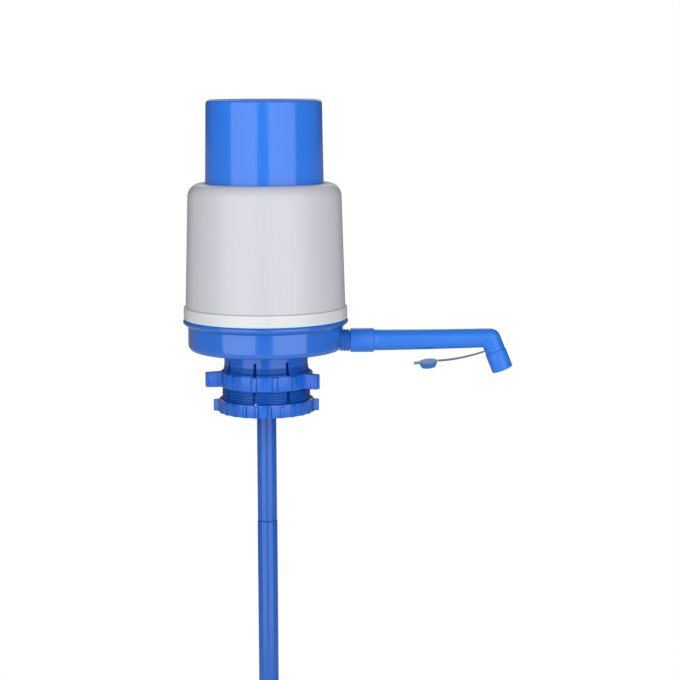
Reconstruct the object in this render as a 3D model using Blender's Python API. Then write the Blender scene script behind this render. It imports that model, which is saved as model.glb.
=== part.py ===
"""Water jug hand pump: press cap over a bellows, on a base that clamps to a bottle neck."""
import math

import bmesh
import bpy
from mathutils import Matrix, Vector

mm = 0.001

# Fits that several pieces share
seat_gap = 0.3 * mm
running_gap = 0.45 * mm
cut_overrun = 2.0 * mm
weld_distance = 0.004 * mm
union_bite = 1.0 * mm

# Base bowl, its underside just above the plane of the bottle lip
base_underside_z = 1.0 * mm
base_wall = 2.2 * mm
base_floor = 2.5 * mm
base_corner = 4.6 * mm
base_flange = 3.8 * mm
base_flange_rim = 3.4 * mm
base_flange_slope = 2.8 * mm
hub_ceiling_z = 1.3 * mm
hub_floor = 2.5 * mm
hub_skirt = 2.9 * mm
socket_wall = 2.3 * mm
socket_mouth_z = -12.0 * mm
socket_shelf = 2.2 * mm
intake_bore = 5.4 * mm
deck_z = 23.0 * mm
seal_wall_clearance = 3.9 * mm
seal_wall = 2.0 * mm

# Water duct through the bowl wall, and the spigot that the spout turns on
duct_z = 7.55 * mm
duct_radius = 7.9 * mm
duct_inner_radius = 6.0 * mm
duct_bore = 4.6 * mm
bulb_clearance = 2.6 * mm
well_radius = 10.0 * mm
well_bore = 8.0 * mm
well_sump = 0.5 * mm
neck_length = 4.9 * mm
neck_rib = 0.3 * mm
neck_rib_width = 1.1 * mm
spigot_radius = 7.0 * mm
spigot_length = 15.7 * mm
spigot_chamfer = 0.7 * mm
groove_depth = 1.3 * mm
groove_width = 1.6 * mm
groove_offset = 7.0 * mm
o_ring_thickness = 1.0 * mm

# Band between bowl and housing
band_skirt = 2.75 * mm
band_height = 9.0 * mm
band_web = 4.1 * mm
band_top_z = 33.3 * mm
band_edge = 1.0 * mm
band_top_edge = 0.6 * mm
band_reach_in = 3.9 * mm
band_lip = 2.2 * mm
band_lip_height = 4.5 * mm

# Upper housing
band_step = 1.4 * mm
housing_draft = 2.45 * mm
housing_top_z = 124.0 * mm
housing_wall = 2.2 * mm
housing_round = 10.0 * mm
housing_lip = 0.8 * mm
housing_ledge = 1.8 * mm
sleeve_wall = 1.9 * mm

# Press cap, at rest at the top of its stroke
cap_stroke = 53.0 * mm
cap_left_proud = 7.5 * mm
cap_draft = 1.0 * mm
cap_clearance = 2.85 * mm
cap_roof = 2.5 * mm
cap_wall = 2.0 * mm
cap_round = 3.2 * mm
cap_corner_fill = 0.6 * mm
cap_hidden = 25.0 * mm
cap_flange = 3.0 * mm
cap_flange_height = 2.4 * mm
cap_locator_wall = 1.2 * mm
cap_locator_depth = 5.0 * mm

# Valve plate on the deck of the bowl
plate_thickness = 2.5 * mm
plate_overhang = 2.0 * mm
guide_bore = 1.9 * mm
port_radius = 1.1 * mm
port_circle = 3.9 * mm
port_count = 4

# Check valves, a soft disc on a stem with a bulb
valve_lift = 1.8 * mm
valve_disc = 1.2 * mm
intake_disc_radius = 6.6 * mm
delivery_disc_radius = 6.6 * mm
valve_stem = 1.5 * mm
valve_bulb = 2.5 * mm
valve_bulb_height = 1.6 * mm

# Bellows
bellows_setback = 3.5 * mm
bellows_fold = 7.5 * mm
bellows_wall = 1.9 * mm
bellows_folds = 10
bellows_bead_setback = 0.6 * mm
bellows_bead = 2.0 * mm
bellows_cuff = 3.0 * mm
bellows_roof = 2.0 * mm

# Ring that clamps the foot bead of the bellows
clamp_wall = 1.9 * mm
clamp_top = 2.4 * mm
clamp_skirt_drop = 5.0 * mm
clamp_mouth_gap = 0.9 * mm

# Gasket on the bottle lip, its lower face is the plane z = 0
gasket_inner_clearance = 0.5 * mm

# Split collar that takes the bottle neck
collar_bore = 28.25 * mm
collar_wall = 2.65 * mm
collar_thread_step = 1.8 * mm
collar_thread_top_z = -15.2 * mm
collar_chamfer = 1.6 * mm
collar_flare = 0.8 * mm
collar_flare_height = 4.6 * mm
collar_bottom_z = -45.3 * mm
collar_nose = 0.8 * mm
collar_bead = 1.0 * mm
collar_bead_z = -40.0 * mm
collar_bead_half = 2.4 * mm
slot_count = 8
slot_first_angle = -57.9
slot_width = 2.2 * mm
slot_top_z = -5.2 * mm

# Ring with two wings that draws the fingers in
wing_ring_top_z = -14.2 * mm
wing_ring_bottom_z = -25.9 * mm
wing_ring_wall = 1.5 * mm
wing_ring_relief = 0.45 * mm
wing_ring_panels = 14
wing_panel_share = 0.24
wing_rib_phase = -102.86
wing_floor_steps = 2
rib_slope_share = 0.06
ring_edge = 0.5 * mm
wing_length = 10.8 * mm
wing_height = 10.7 * mm
wing_width = 6.4 * mm
wing_taper = 0.7 * mm
wing_angles = (193.0, -31.0)

# Lower ring with narrow ribs and two lugs
lower_ring_top_z = -35.3 * mm
lower_ring_bottom_z = -45.0 * mm
lower_ring_wall = 2.0 * mm
lower_ring_rib = 0.85 * mm
lower_ring_ribs = 24
lower_rib_share = 0.28
lower_rib_phase = -87.0
lug_length = 4.1 * mm
lug_top_z = -36.6 * mm
lug_height = 8.0 * mm
lug_width = 7.0 * mm
lug_taper = 0.9 * mm
lug_angles = (180.0, 0.0)

# Spout: socket, straight tube, elbow and slanted nozzle
spout_socket_radius = 8.8 * mm
spout_socket_length = 17.4 * mm
spout_bead = 0.15 * mm
spout_bead_width = 1.5 * mm
spout_root_radius = 7.7 * mm
spout_end_radius = 7.05 * mm
spout_bore = 5.6 * mm
spout_length = 98.0 * mm
spout_rise = 1.25 * mm
spout_curve_steps = 4
elbow_inner_radius = 0.5 * mm
elbow_outer_radius = 8.0 * mm
elbow_turn = 68.4
elbow_rings = 8
nozzle_neck_radius = 7.5 * mm
nozzle_neck_length = 5.9 * mm
nozzle_tip_radius = 7.9 * mm
nozzle_tip_length = 14.3 * mm
nozzle_mouth_edge = 0.5 * mm

# Plug on its strap, and the ring that holds the strap on the nozzle
strap_ring_wall = 0.7 * mm
strap_ring_width = 3.2 * mm
strap_ring_above_tip = 1.1 * mm
strap_groove_wall = 1.0 * mm
strap_thickness = 1.1 * mm
strap_hinge_thickness = 0.5 * mm
strap_width = 4.6 * mm
strap_drop = 6.3 * mm
strap_length = 34.4 * mm
strap_sag_share = 0.5
strap_steps = 8
plug_tilt = 6.2
plug_cap_radius = 7.0 * mm
plug_cap_height = 1.7 * mm
plug_nose_radius = 6.3 * mm
plug_tip_radius = 5.7 * mm
plug_nose_height = 3.2 * mm
plug_tab_reach = 3.6 * mm
plug_tab_width = 5.0 * mm
plug_bevel = 0.5 * mm

# Dip tube in three lengths
tube_joint_step = 0.2 * mm
tube_lower_radius = 7.45 * mm
tube_wall = 1.3 * mm
tube_length = 162.8 * mm
tube_overlap = 14.0 * mm
tube_tenon_wall = 1.1 * mm
tube_edge = 0.5 * mm
foot_notch_width = 4.4 * mm
foot_notch_height = 6.0 * mm
foot_notches = 2

# Facets round each kind of piece
big_facets = 46
bellows_facets = 20
small_facets = 20
tube_facets = 20
round_steps = 4

# Radii worked out from the bottle neck's outwards
collar_plain_radius = collar_bore + collar_wall
collar_thread_radius = collar_plain_radius + collar_thread_step
ring_bore = collar_thread_radius + seat_gap
wing_ring_radius = ring_bore + wing_ring_wall
wing_reach = wing_ring_radius + wing_length
lower_ring_radius = ring_bore + lower_ring_wall
lug_reach = lower_ring_radius + lug_length
hub_recess_radius = collar_plain_radius + seat_gap
seal_wall_radius = hub_recess_radius + hub_skirt + seal_wall_clearance + seal_wall
plate_radius = seal_wall_radius + plate_overhang
clamp_radius = plate_radius + seat_gap + clamp_wall
bellows_bead_radius = plate_radius - bellows_bead_setback
bellows_peak = plate_radius - bellows_setback
bellows_valley = bellows_peak - bellows_fold
clamp_mouth = bellows_peak + clamp_mouth_gap
well_x = bellows_valley - bellows_wall - valve_bulb - bulb_clearance
cap_inner_radius = bellows_peak + cap_clearance
cap_skirt_radius = cap_inner_radius + cap_wall
cap_top_radius = cap_skirt_radius - cap_draft
opening_radius = cap_skirt_radius + running_gap
housing_shoulder_radius = opening_radius + housing_lip + housing_ledge + housing_round
housing_foot_radius = housing_shoulder_radius + housing_draft
band_radius = housing_foot_radius + band_step
base_radius = band_radius - band_skirt - seat_gap
band_inner_radius = base_radius - band_reach_in

# Places worked out from the sizes above
band_bottom_z = band_top_z - band_height
base_rim_z = band_top_z - band_web - seat_gap
base_flange_top_z = band_bottom_z - seat_gap
base_flange_radius = base_radius + base_flange
strap_groove_radius = spout_bore + strap_groove_wall
cap_top_z = housing_top_z + cap_stroke + cap_left_proud
cap_bottom_z = housing_top_z - cap_hidden
sleeve_bottom_z = cap_bottom_z + cap_flange_height + seat_gap
plate_bottom_z = deck_z + seat_gap
plate_top_z = plate_bottom_z + plate_thickness
bellows_foot_z = plate_top_z + seat_gap
bellows_top_z = cap_top_z - cap_roof - seat_gap
clamp_face_z = bellows_foot_z + bellows_bead + seat_gap
gasket_top_z = hub_ceiling_z - seat_gap
collar_top_z = hub_ceiling_z - seat_gap
tube_upper_radius = tube_lower_radius - tube_joint_step
socket_bore = tube_upper_radius + seat_gap
socket_radius = socket_bore + socket_wall
neck_end_x = base_radius + neck_length
spigot_end_x = neck_end_x + spigot_length
spout_start_x = neck_end_x + seat_gap
spout_tube_end_x = spout_start_x + spout_length
tube_top_z = deck_z - socket_shelf - seat_gap
tube_first_joint_z = tube_top_z - (tube_length - tube_overlap)
tube_second_joint_z = tube_first_joint_z - seat_gap - (tube_length - tube_overlap)
tube_foot_z = tube_second_joint_z - seat_gap - tube_length


def material(name, colour, roughness, metallic=0.0):
    mat = bpy.data.materials.new(name)
    mat.use_nodes = True
    shader = mat.node_tree.nodes["Principled BSDF"]
    shader.inputs["Base Color"].default_value = (*colour, 1.0)
    shader.inputs["Roughness"].default_value = roughness
    shader.inputs["Metallic"].default_value = metallic
    mat.diffuse_color = (*colour, 1.0)
    return mat


def finish(name, bm, mat, location=(0, 0, 0), parent=None, crease_degrees=32):
    """Turns a bmesh into a smooth-shaded object whose origin is its own joint or seat."""
    bmesh.ops.recalc_face_normals(bm, faces=bm.faces[:])
    mesh = bpy.data.meshes.new(name)
    bm.to_mesh(mesh)
    bm.free()
    mesh.materials.append(mat)
    mesh.shade_smooth()
    mesh.set_sharp_from_angle(angle=math.radians(crease_degrees))
    obj = bpy.data.objects.new(name, mesh)
    bpy.context.scene.collection.objects.link(obj)
    obj.location = location
    obj.parent = parent
    return obj


def guide(name, bm):
    """A shape that only cuts or joins, left out of the finished part."""
    bmesh.ops.recalc_face_normals(bm, faces=bm.faces[:])
    mesh = bpy.data.meshes.new(name)
    bm.to_mesh(mesh)
    bm.free()
    obj = bpy.data.objects.new(name, mesh)
    bpy.context.scene.collection.objects.link(obj)
    obj.hide_render = True
    obj.display_type = "WIRE"
    return obj


def boolean(target, other, operation):
    modifier = target.modifiers.new(other.name, "BOOLEAN")
    modifier.operation = operation
    modifier.solver = "EXACT"
    modifier.object = other


def empty(name, location, turn_y=0.0):
    obj = bpy.data.objects.new(name, None)
    bpy.context.scene.collection.objects.link(obj)
    obj.location = location
    obj.rotation_euler = (0.0, turn_y, 0.0)
    return obj


def arc(centre_r, centre_z, radius, start, end, steps=round_steps):
    """Points on an arc in a profile, angles in degrees from +r towards +z."""
    points = []
    for i in range(steps + 1):
        a = math.radians(start + (end - start) * i / steps)
        points.append((centre_r + radius * math.cos(a), centre_z + radius * math.sin(a)))
    return points


def turned(bm, profile, facets, closed=True):
    """Spins a profile of (radius, height) points once round Z."""
    verts = [bm.verts.new((r, 0.0, z)) for r, z in profile]
    edges = [bm.edges.new(pair) for pair in zip(verts, verts[1:])]
    if closed:
        edges.append(bm.edges.new((verts[-1], verts[0])))
    bmesh.ops.spin(
        bm,
        geom=verts + edges,
        cent=(0, 0, 0),
        axis=(0, 0, 1),
        angle=math.tau,
        steps=facets,
        use_merge=True,
    )
    bmesh.ops.remove_doubles(bm, verts=bm.verts[:], dist=weld_distance)


def turned_object(name, profile, facets, mat, closed=True, **place):
    bm = bmesh.new()
    turned(bm, profile, facets, closed)
    return finish(name, bm, mat, **place)


def turned_guide(name, profile, facets, closed=True, matrix=None):
    bm = bmesh.new()
    turned(bm, profile, facets, closed)
    if matrix is not None:
        bmesh.ops.transform(bm, matrix=matrix, verts=bm.verts[:])
    return guide(name, bm)


def columned(bm, columns):
    """Skins a ring from profiles that stand at their own angles, each with as many points."""
    rows = []
    for angle, profile in columns:
        c, s = math.cos(angle), math.sin(angle)
        rows.append([bm.verts.new((r * c, r * s, z)) for r, z in profile])
    for here, there in zip(rows, rows[1:] + rows[:1]):
        count = len(here)
        for j in range(count):
            k = (j + 1) % count
            bm.faces.new((here[j], there[j], there[k], here[k]))


def lofted(bm, loops):
    """Skins a closed ring of loops of points, the last joined to the first."""
    rows = [[bm.verts.new(p) for p in loop] for loop in loops]
    for here, there in zip(rows, rows[1:] + rows[:1]):
        count = len(here)
        for j in range(count):
            k = (j + 1) % count
            bm.faces.new((here[j], here[k], there[k], there[j]))


def disc_loop(centre, direction, radius, facets, reach=None):
    """A circle of points square to a direction in the XZ plane, or an oval with its own reach."""
    reach = reach or radius
    side = Vector((0, 1, 0))
    up = side.cross(direction).normalized()
    points = []
    for i in range(facets):
        a = math.tau * i / facets
        points.append(centre + radius * math.cos(a) * side + reach * math.sin(a) * up)
    return points


def block(bm, low, high, turn=0.0):
    """A box between two corners, turned round Z."""
    made = bmesh.ops.create_cube(bm, size=1.0)
    verts = made["verts"]
    low, high = Vector(low), Vector(high)
    middle, size = (low + high) / 2, high - low
    matrix = Matrix.Rotation(turn, 4, "Z") @ Matrix.Translation(middle) @ Matrix.Diagonal((*size, 1))
    bmesh.ops.transform(bm, matrix=matrix, verts=verts)
    return verts


# Turns a profile round Z into one round X
lay_along_x = Matrix.Rotation(math.pi / 2, 4, "Y")


def base_bowl(mat):
    floor_top = base_underside_z + base_floor
    hub_top = hub_ceiling_z + hub_floor
    hub_radius = hub_recess_radius + hub_skirt
    inner = base_radius - base_wall
    seal_inner = seal_wall_radius - seal_wall
    corner = arc(base_radius - base_corner, base_underside_z + base_corner, base_corner, -90, 0)
    profile = [
        (socket_radius, socket_mouth_z),
        (socket_radius, hub_ceiling_z),
        (hub_recess_radius, hub_ceiling_z),
        (hub_recess_radius, base_underside_z),
        *corner,
        (base_radius, base_flange_top_z - base_flange_rim - base_flange_slope),
        (base_flange_radius, base_flange_top_z - base_flange_rim),
        (base_flange_radius, base_flange_top_z),
        (base_radius, base_flange_top_z),
        (base_radius, base_rim_z),
        (inner, base_rim_z),
        (inner, floor_top),
        (seal_wall_radius, floor_top),
        (seal_wall_radius, deck_z),
        (seal_inner, deck_z),
        (seal_inner, floor_top),
        (hub_radius, floor_top),
        (hub_radius, hub_top),
        (socket_radius, hub_top),
        (socket_radius, deck_z),
        (intake_bore, deck_z),
        (intake_bore, deck_z - socket_shelf),
        (socket_bore, deck_z - socket_shelf),
        (socket_bore, socket_mouth_z),
    ]
    bowl = turned_object("base_bowl", profile, big_facets, mat)

    groove_x = neck_end_x + groove_offset
    rib_tip = duct_radius + neck_rib
    first_rib = base_radius + neck_rib_width / 2
    second_rib = first_rib + 2 * neck_rib_width
    run = [
        (0.0, well_x),
        (duct_inner_radius, well_x),
        (duct_inner_radius, inner - duct_radius + duct_inner_radius),
        (duct_radius, inner),
        (duct_radius, first_rib),
        (rib_tip, first_rib + neck_rib_width / 2),
        (duct_radius, first_rib + neck_rib_width),
        (duct_radius, second_rib),
        (rib_tip, second_rib + neck_rib_width / 2),
        (duct_radius, second_rib + neck_rib_width),
        (duct_radius, neck_end_x),
        (spigot_radius, neck_end_x),
        (spigot_radius, groove_x),
        (spigot_radius - groove_depth, groove_x),
        (spigot_radius - groove_depth, groove_x + groove_width),
        (spigot_radius, groove_x + groove_width),
        (spigot_radius, spigot_end_x - spigot_chamfer),
        (spigot_radius - spigot_chamfer, spigot_end_x),
        (0.0, spigot_end_x),
    ]
    along = Matrix.Translation((0, 0, duct_z)) @ lay_along_x
    boolean(bowl, turned_guide("duct_body", run, small_facets, False, along), "UNION")
    well_foot = hub_ceiling_z + union_bite
    well = [(0.0, well_foot), (well_radius, well_foot), (well_radius, deck_z), (0.0, deck_z)]
    to_well = Matrix.Translation((well_x, 0, 0)) @ Matrix.Rotation(math.pi / small_facets, 4, "Z")
    boolean(bowl, turned_guide("well_body", well, small_facets, False, to_well), "UNION")
    bore_end = spigot_end_x + cut_overrun
    bore = [(0.0, well_x), (duct_bore, well_x), (duct_bore, bore_end), (0.0, bore_end)]
    half_turned = along @ Matrix.Rotation(math.pi / small_facets, 4, "Z")
    boolean(bowl, turned_guide("duct_cut", bore, small_facets, False, half_turned), "DIFFERENCE")
    well_floor = duct_z - duct_bore - well_sump
    pit = [(0.0, well_floor), (well_bore, well_floor),
           (well_bore, deck_z + cut_overrun), (0.0, deck_z + cut_overrun)]
    boolean(bowl, turned_guide("well_cut", pit, small_facets, False, to_well), "DIFFERENCE")
    return bowl


def housing_band(mat):
    skirt_inner = base_radius + seat_gap
    web_bottom = base_rim_z + seat_gap
    lip_outer = housing_foot_radius - housing_wall - seat_gap
    lip_top = band_top_z + band_lip_height
    profile = [
        *arc(band_radius - band_edge, band_bottom_z + band_edge, band_edge, -90, 0, 3),
        *arc(band_radius - band_top_edge, band_top_z - band_top_edge, band_top_edge, 0, 90, 1),
        (lip_outer, band_top_z),
        (lip_outer, lip_top),
        (lip_outer - band_lip, lip_top),
        (band_inner_radius, band_top_z),
        (band_inner_radius, web_bottom),
        (skirt_inner, web_bottom),
        (skirt_inner, band_bottom_z),
    ]
    return turned_object("housing_band", profile, big_facets, mat)


def upper_housing(mat):
    foot_z = band_top_z + seat_gap
    lip_z = housing_top_z
    roof_under_z = housing_top_z - housing_wall
    outer_round = arc(housing_shoulder_radius - housing_round, lip_z - housing_round,
                      housing_round, 0, 90, 5)
    inner_round = arc(housing_shoulder_radius - housing_round, lip_z - housing_round,
                      housing_round - housing_wall, 90, 0, 4)
    sleeve_outer = opening_radius + sleeve_wall
    lip = arc(opening_radius + housing_lip, lip_z - housing_lip, housing_lip, 90, 180, 1)
    profile = [
        (housing_foot_radius, foot_z),
        *outer_round,
        *lip,
        (opening_radius, sleeve_bottom_z),
        (sleeve_outer, sleeve_bottom_z),
        (sleeve_outer, roof_under_z - sleeve_wall),
        *[p for p in inner_round if p[0] > sleeve_outer and p[1] < roof_under_z - sleeve_wall],
        (housing_foot_radius - housing_wall, foot_z),
    ]
    return turned_object("upper_housing", profile, big_facets, mat)


def press_cap(mat):
    roof_under = cap_top_z - cap_roof
    flange_outer = cap_skirt_radius + cap_flange
    roundness = arc(cap_top_radius - cap_round, cap_top_z - cap_round, cap_round, 90, 0)
    profile = [
        (0.0, cap_top_z),
        *roundness,
        (cap_skirt_radius, housing_top_z),
        (cap_skirt_radius, cap_bottom_z + cap_flange_height),
        (flange_outer, cap_bottom_z + cap_flange_height),
        (flange_outer, cap_bottom_z),
        (cap_inner_radius, cap_bottom_z),
        (cap_inner_radius, roof_under - cap_corner_fill),
        (cap_inner_radius - cap_corner_fill, roof_under),
        (bellows_peak + seat_gap + cap_locator_wall, roof_under),
        (bellows_peak + seat_gap + cap_locator_wall, roof_under - cap_locator_depth),
        (bellows_peak + seat_gap, roof_under - cap_locator_depth),
        (bellows_peak + seat_gap, roof_under),
        (0.0, roof_under),
    ]
    return turned_object("press_cap", profile, big_facets, mat, closed=False)


def fold_points(foot_z, head_z, shrink):
    """The zigzag of the folds, valley to valley, drawn in by the wall for the inside."""
    pitch = (head_z - foot_z) / bellows_folds
    points = [(bellows_valley - shrink, foot_z)]
    for i in range(bellows_folds):
        points.append((bellows_peak - shrink, foot_z + pitch * (i + 1 / 2)))
        points.append((bellows_valley - shrink, foot_z + pitch * (i + 1)))
    return points


def bellows(mat):
    cuff_top = bellows_foot_z + bellows_bead + bellows_cuff
    head_z = bellows_top_z - bellows_roof - bellows_cuff
    outside = fold_points(cuff_top, head_z, 0.0)
    inside = fold_points(cuff_top, head_z, bellows_wall)
    profile = [
        (0.0, bellows_top_z),
        (bellows_peak, bellows_top_z),
        (bellows_peak, head_z + bellows_cuff / 2),
        *reversed(outside),
        (bellows_valley, bellows_foot_z + bellows_bead),
        (bellows_bead_radius, bellows_foot_z + bellows_bead),
        (bellows_bead_radius, bellows_foot_z),
        (bellows_valley - bellows_wall, bellows_foot_z),
        *inside,
        (bellows_valley - bellows_wall, bellows_top_z - bellows_roof),
        (0.0, bellows_top_z - bellows_roof),
    ]
    from_foot = [(r, z - bellows_foot_z) for r, z in profile]
    return turned_object("bellows", from_foot, bellows_facets, mat, closed=False,
                         location=(0, 0, bellows_foot_z))


def bellows_clamp(mat):
    rim_inner = plate_radius + seat_gap
    profile = [
        (clamp_radius, plate_bottom_z - clamp_skirt_drop),
        (clamp_radius, clamp_face_z + clamp_top - ring_edge),
        (clamp_radius - ring_edge, clamp_face_z + clamp_top),
        (clamp_mouth, clamp_face_z + clamp_top),
        (clamp_mouth, clamp_face_z),
        (rim_inner, clamp_face_z),
        (rim_inner, plate_bottom_z - clamp_skirt_drop),
    ]
    return turned_object("bellows_clamp_ring", profile, big_facets, mat)


def valve_plate(mat):
    profile = [(0.0, plate_bottom_z), (plate_radius, plate_bottom_z),
               (plate_radius, plate_top_z), (0.0, plate_top_z)]
    plate = turned_object("valve_plate", profile, big_facets, mat, closed=False)
    depth = plate_thickness + 2 * cut_overrun
    middle_z = (plate_bottom_z + plate_top_z) / 2
    for label, x in (("intake_ports", 0.0), ("delivery_ports", well_x)):
        bm = bmesh.new()
        bmesh.ops.create_cone(bm, cap_ends=True, segments=8, radius1=guide_bore, radius2=guide_bore,
                              depth=depth, matrix=Matrix.Translation((x, 0, middle_z)))
        for i in range(port_count):
            a = math.tau * i / port_count
            spot = (x + port_circle * math.cos(a), port_circle * math.sin(a), middle_z)
            bmesh.ops.create_cone(bm, cap_ends=True, segments=6, radius1=port_radius,
                                  radius2=port_radius, depth=depth, matrix=Matrix.Translation(spot))
        boolean(plate, guide(label, bm), "DIFFERENCE")
    return plate


def check_valve(name, mat, disc_radius, location, upward):
    """A disc that lies on one face of the plate, its stem through it to a bulb."""
    s = 1 if upward else -1
    stem_end = -(plate_thickness + 2 * seat_gap + valve_lift)
    profile = [
        (0.0, s * valve_disc),
        (disc_radius - valve_disc / 2, s * valve_disc),
        (disc_radius, s * valve_disc / 2),
        (disc_radius, 0.0),
        (valve_stem, 0.0),
        (valve_stem, s * stem_end),
        (valve_bulb, s * stem_end),
        (valve_bulb, s * (stem_end - valve_bulb_height / 2)),
        (valve_stem / 2, s * (stem_end - valve_bulb_height)),
        (0.0, s * (stem_end - valve_bulb_height)),
    ]
    return turned_object(name, profile, small_facets, mat, closed=False, location=location)


def neck_gasket(mat):
    outer = collar_bore - seat_gap
    inner = socket_radius + gasket_inner_clearance
    profile = [(inner, 0.0), (outer, 0.0), (outer, gasket_top_z), (inner, gasket_top_z)]
    return turned_object("neck_gasket", profile, big_facets, mat)


def split_collar(mat):
    bead_r = collar_bore - collar_bead
    profile = [
        (collar_bore, collar_top_z),
        (collar_bore, collar_bead_z + 2 * collar_bead_half),
        (bead_r, collar_bead_z + collar_bead_half),
        (bead_r, collar_bead_z),
        (collar_bore, collar_bead_z - collar_bead_half),
        (collar_bore + collar_nose, collar_bottom_z),
        (collar_thread_radius - collar_nose, collar_bottom_z),
        (collar_thread_radius, collar_bottom_z + collar_nose),
        (collar_thread_radius, collar_thread_top_z),
        (collar_plain_radius + collar_flare, collar_thread_top_z + collar_chamfer),
        (collar_plain_radius, collar_thread_top_z + collar_chamfer + collar_flare_height),
        (collar_plain_radius, collar_top_z),
    ]
    collar = turned_object("split_collar", profile, big_facets, mat)
    bm = bmesh.new()
    for i in range(slot_count):
        turn = math.radians(slot_first_angle) + math.tau * i / slot_count
        block(bm, (collar_bore - collar_bead - cut_overrun, -slot_width / 2, collar_bottom_z - cut_overrun),
              (collar_thread_radius + cut_overrun, slot_width / 2, slot_top_z), turn)
    boolean(collar, guide("collar_slots", bm), "DIFFERENCE")
    return collar


def ribbed_columns(count, share, low, high, phase, profile_at, floor_steps=1):
    """Four columns a rib, and more between two ribs where the floor is wide."""
    pitch = math.tau / count
    half = pitch * share / 2
    slope = pitch * rib_slope_share
    columns = []
    for i in range(count):
        middle = phase + pitch * i
        for offset, radius in ((-half - slope, low), (-half, high), (half, high), (half + slope, low)):
            columns.append((middle + offset, profile_at(radius)))
        floor = pitch - 2 * (half + slope)
        for k in range(1, floor_steps):
            columns.append((middle + half + slope + floor * k / floor_steps, profile_at(low)))
    return columns


def ring_profile(outer, bottom_z, top_z):
    return [
        (ring_bore, bottom_z),
        (outer - ring_edge, bottom_z),
        (outer, bottom_z + ring_edge),
        (outer, top_z - ring_edge),
        (outer - ring_edge, top_z),
        (ring_bore, top_z),
    ]


def paddle(bm, inner, reach, bottom_z, height, width, taper, angle):
    """A wing that stands out from a ring and narrows towards its end."""
    verts = block(bm, (inner, -width / 2, bottom_z), (reach, width / 2, bottom_z + height))
    for v in verts:
        if v.co.x > (inner + reach) / 2:
            v.co.y -= math.copysign(taper, v.co.y)
            v.co.z -= math.copysign(taper / 3, v.co.z - bottom_z - height / 2)
    bmesh.ops.transform(bm, matrix=Matrix.Rotation(math.radians(angle), 4, "Z"), verts=verts)


def winged_ring(name, mat, columns, middle_z, wings):
    bm = bmesh.new()
    columned(bm, columns)
    bmesh.ops.translate(bm, vec=(0, 0, -middle_z), verts=bm.verts[:])
    ring = finish(name, bm, mat, location=(0, 0, middle_z))
    bm = bmesh.new()
    for wing in wings:
        paddle(bm, *wing)
    boolean(ring, guide(name + "_wings", bm), "UNION")
    return ring


def wing_ring(mat):
    columns = ribbed_columns(
        wing_ring_panels, wing_panel_share, wing_ring_radius - wing_ring_relief, wing_ring_radius,
        math.radians(wing_rib_phase), lambda r: ring_profile(r, wing_ring_bottom_z, wing_ring_top_z),
        wing_floor_steps)
    middle = (wing_ring_bottom_z + wing_ring_top_z) / 2
    wings = [(ring_bore + ring_edge, wing_reach, middle - wing_height / 2, wing_height, wing_width,
              wing_taper, angle) for angle in wing_angles]
    return winged_ring("wing_ring", mat, columns, middle, wings)


def lower_ring(mat):
    columns = ribbed_columns(
        lower_ring_ribs, lower_rib_share, lower_ring_radius, lower_ring_radius + lower_ring_rib,
        math.radians(lower_rib_phase), lambda r: ring_profile(r, lower_ring_bottom_z, lower_ring_top_z))
    middle = (lower_ring_bottom_z + lower_ring_top_z) / 2
    lugs = [(ring_bore + ring_edge, lug_reach, lug_top_z - lug_height, lug_height, lug_width,
             lug_taper, angle) for angle in lug_angles]
    return winged_ring("lower_ring", mat, columns, middle, lugs)


def o_ring(mat):
    middle = spigot_radius - o_ring_thickness / 2
    centre_x = neck_end_x + groove_offset + groove_width / 2
    bm = bmesh.new()
    turned(bm, arc(middle, 0.0, o_ring_thickness / 2, 0, 300, 5), small_facets)
    bmesh.ops.transform(bm, matrix=lay_along_x, verts=bm.verts[:])
    return finish("spout_o_ring", bm, mat, location=(centre_x, 0, duct_z), crease_degrees=80)


def elbow_turns():
    return [math.radians(elbow_turn) * i / elbow_rings for i in range(1, elbow_rings + 1)]


def elbow_reach(turn):
    """How far the outer skin of the elbow is from its pivot, along the spoke at a turn."""
    full = math.radians(elbow_turn)
    low = elbow_inner_radius + 2 * spout_end_radius
    high = elbow_inner_radius + 2 * nozzle_neck_radius
    fillet = elbow_outer_radius
    x = ((high - fillet) - (low - fillet) * math.cos(full)) / math.sin(full)
    z = low - fillet
    if turn < math.atan2(x, low):
        return low / math.cos(turn)
    if turn > math.atan2(x + fillet * math.sin(full), z + fillet * math.cos(full)):
        return high / math.cos(full - turn)
    along = x * math.sin(turn) + z * math.cos(turn)
    return along + math.sqrt(along * along - x * x - z * z + fillet * fillet)


def spout_axis(x):
    """A point on the axis of the tube, which rises a little more towards its end."""
    share = (x - spout_start_x) / spout_length
    return Vector((x, 0, duct_z + spout_rise * share * share))


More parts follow.
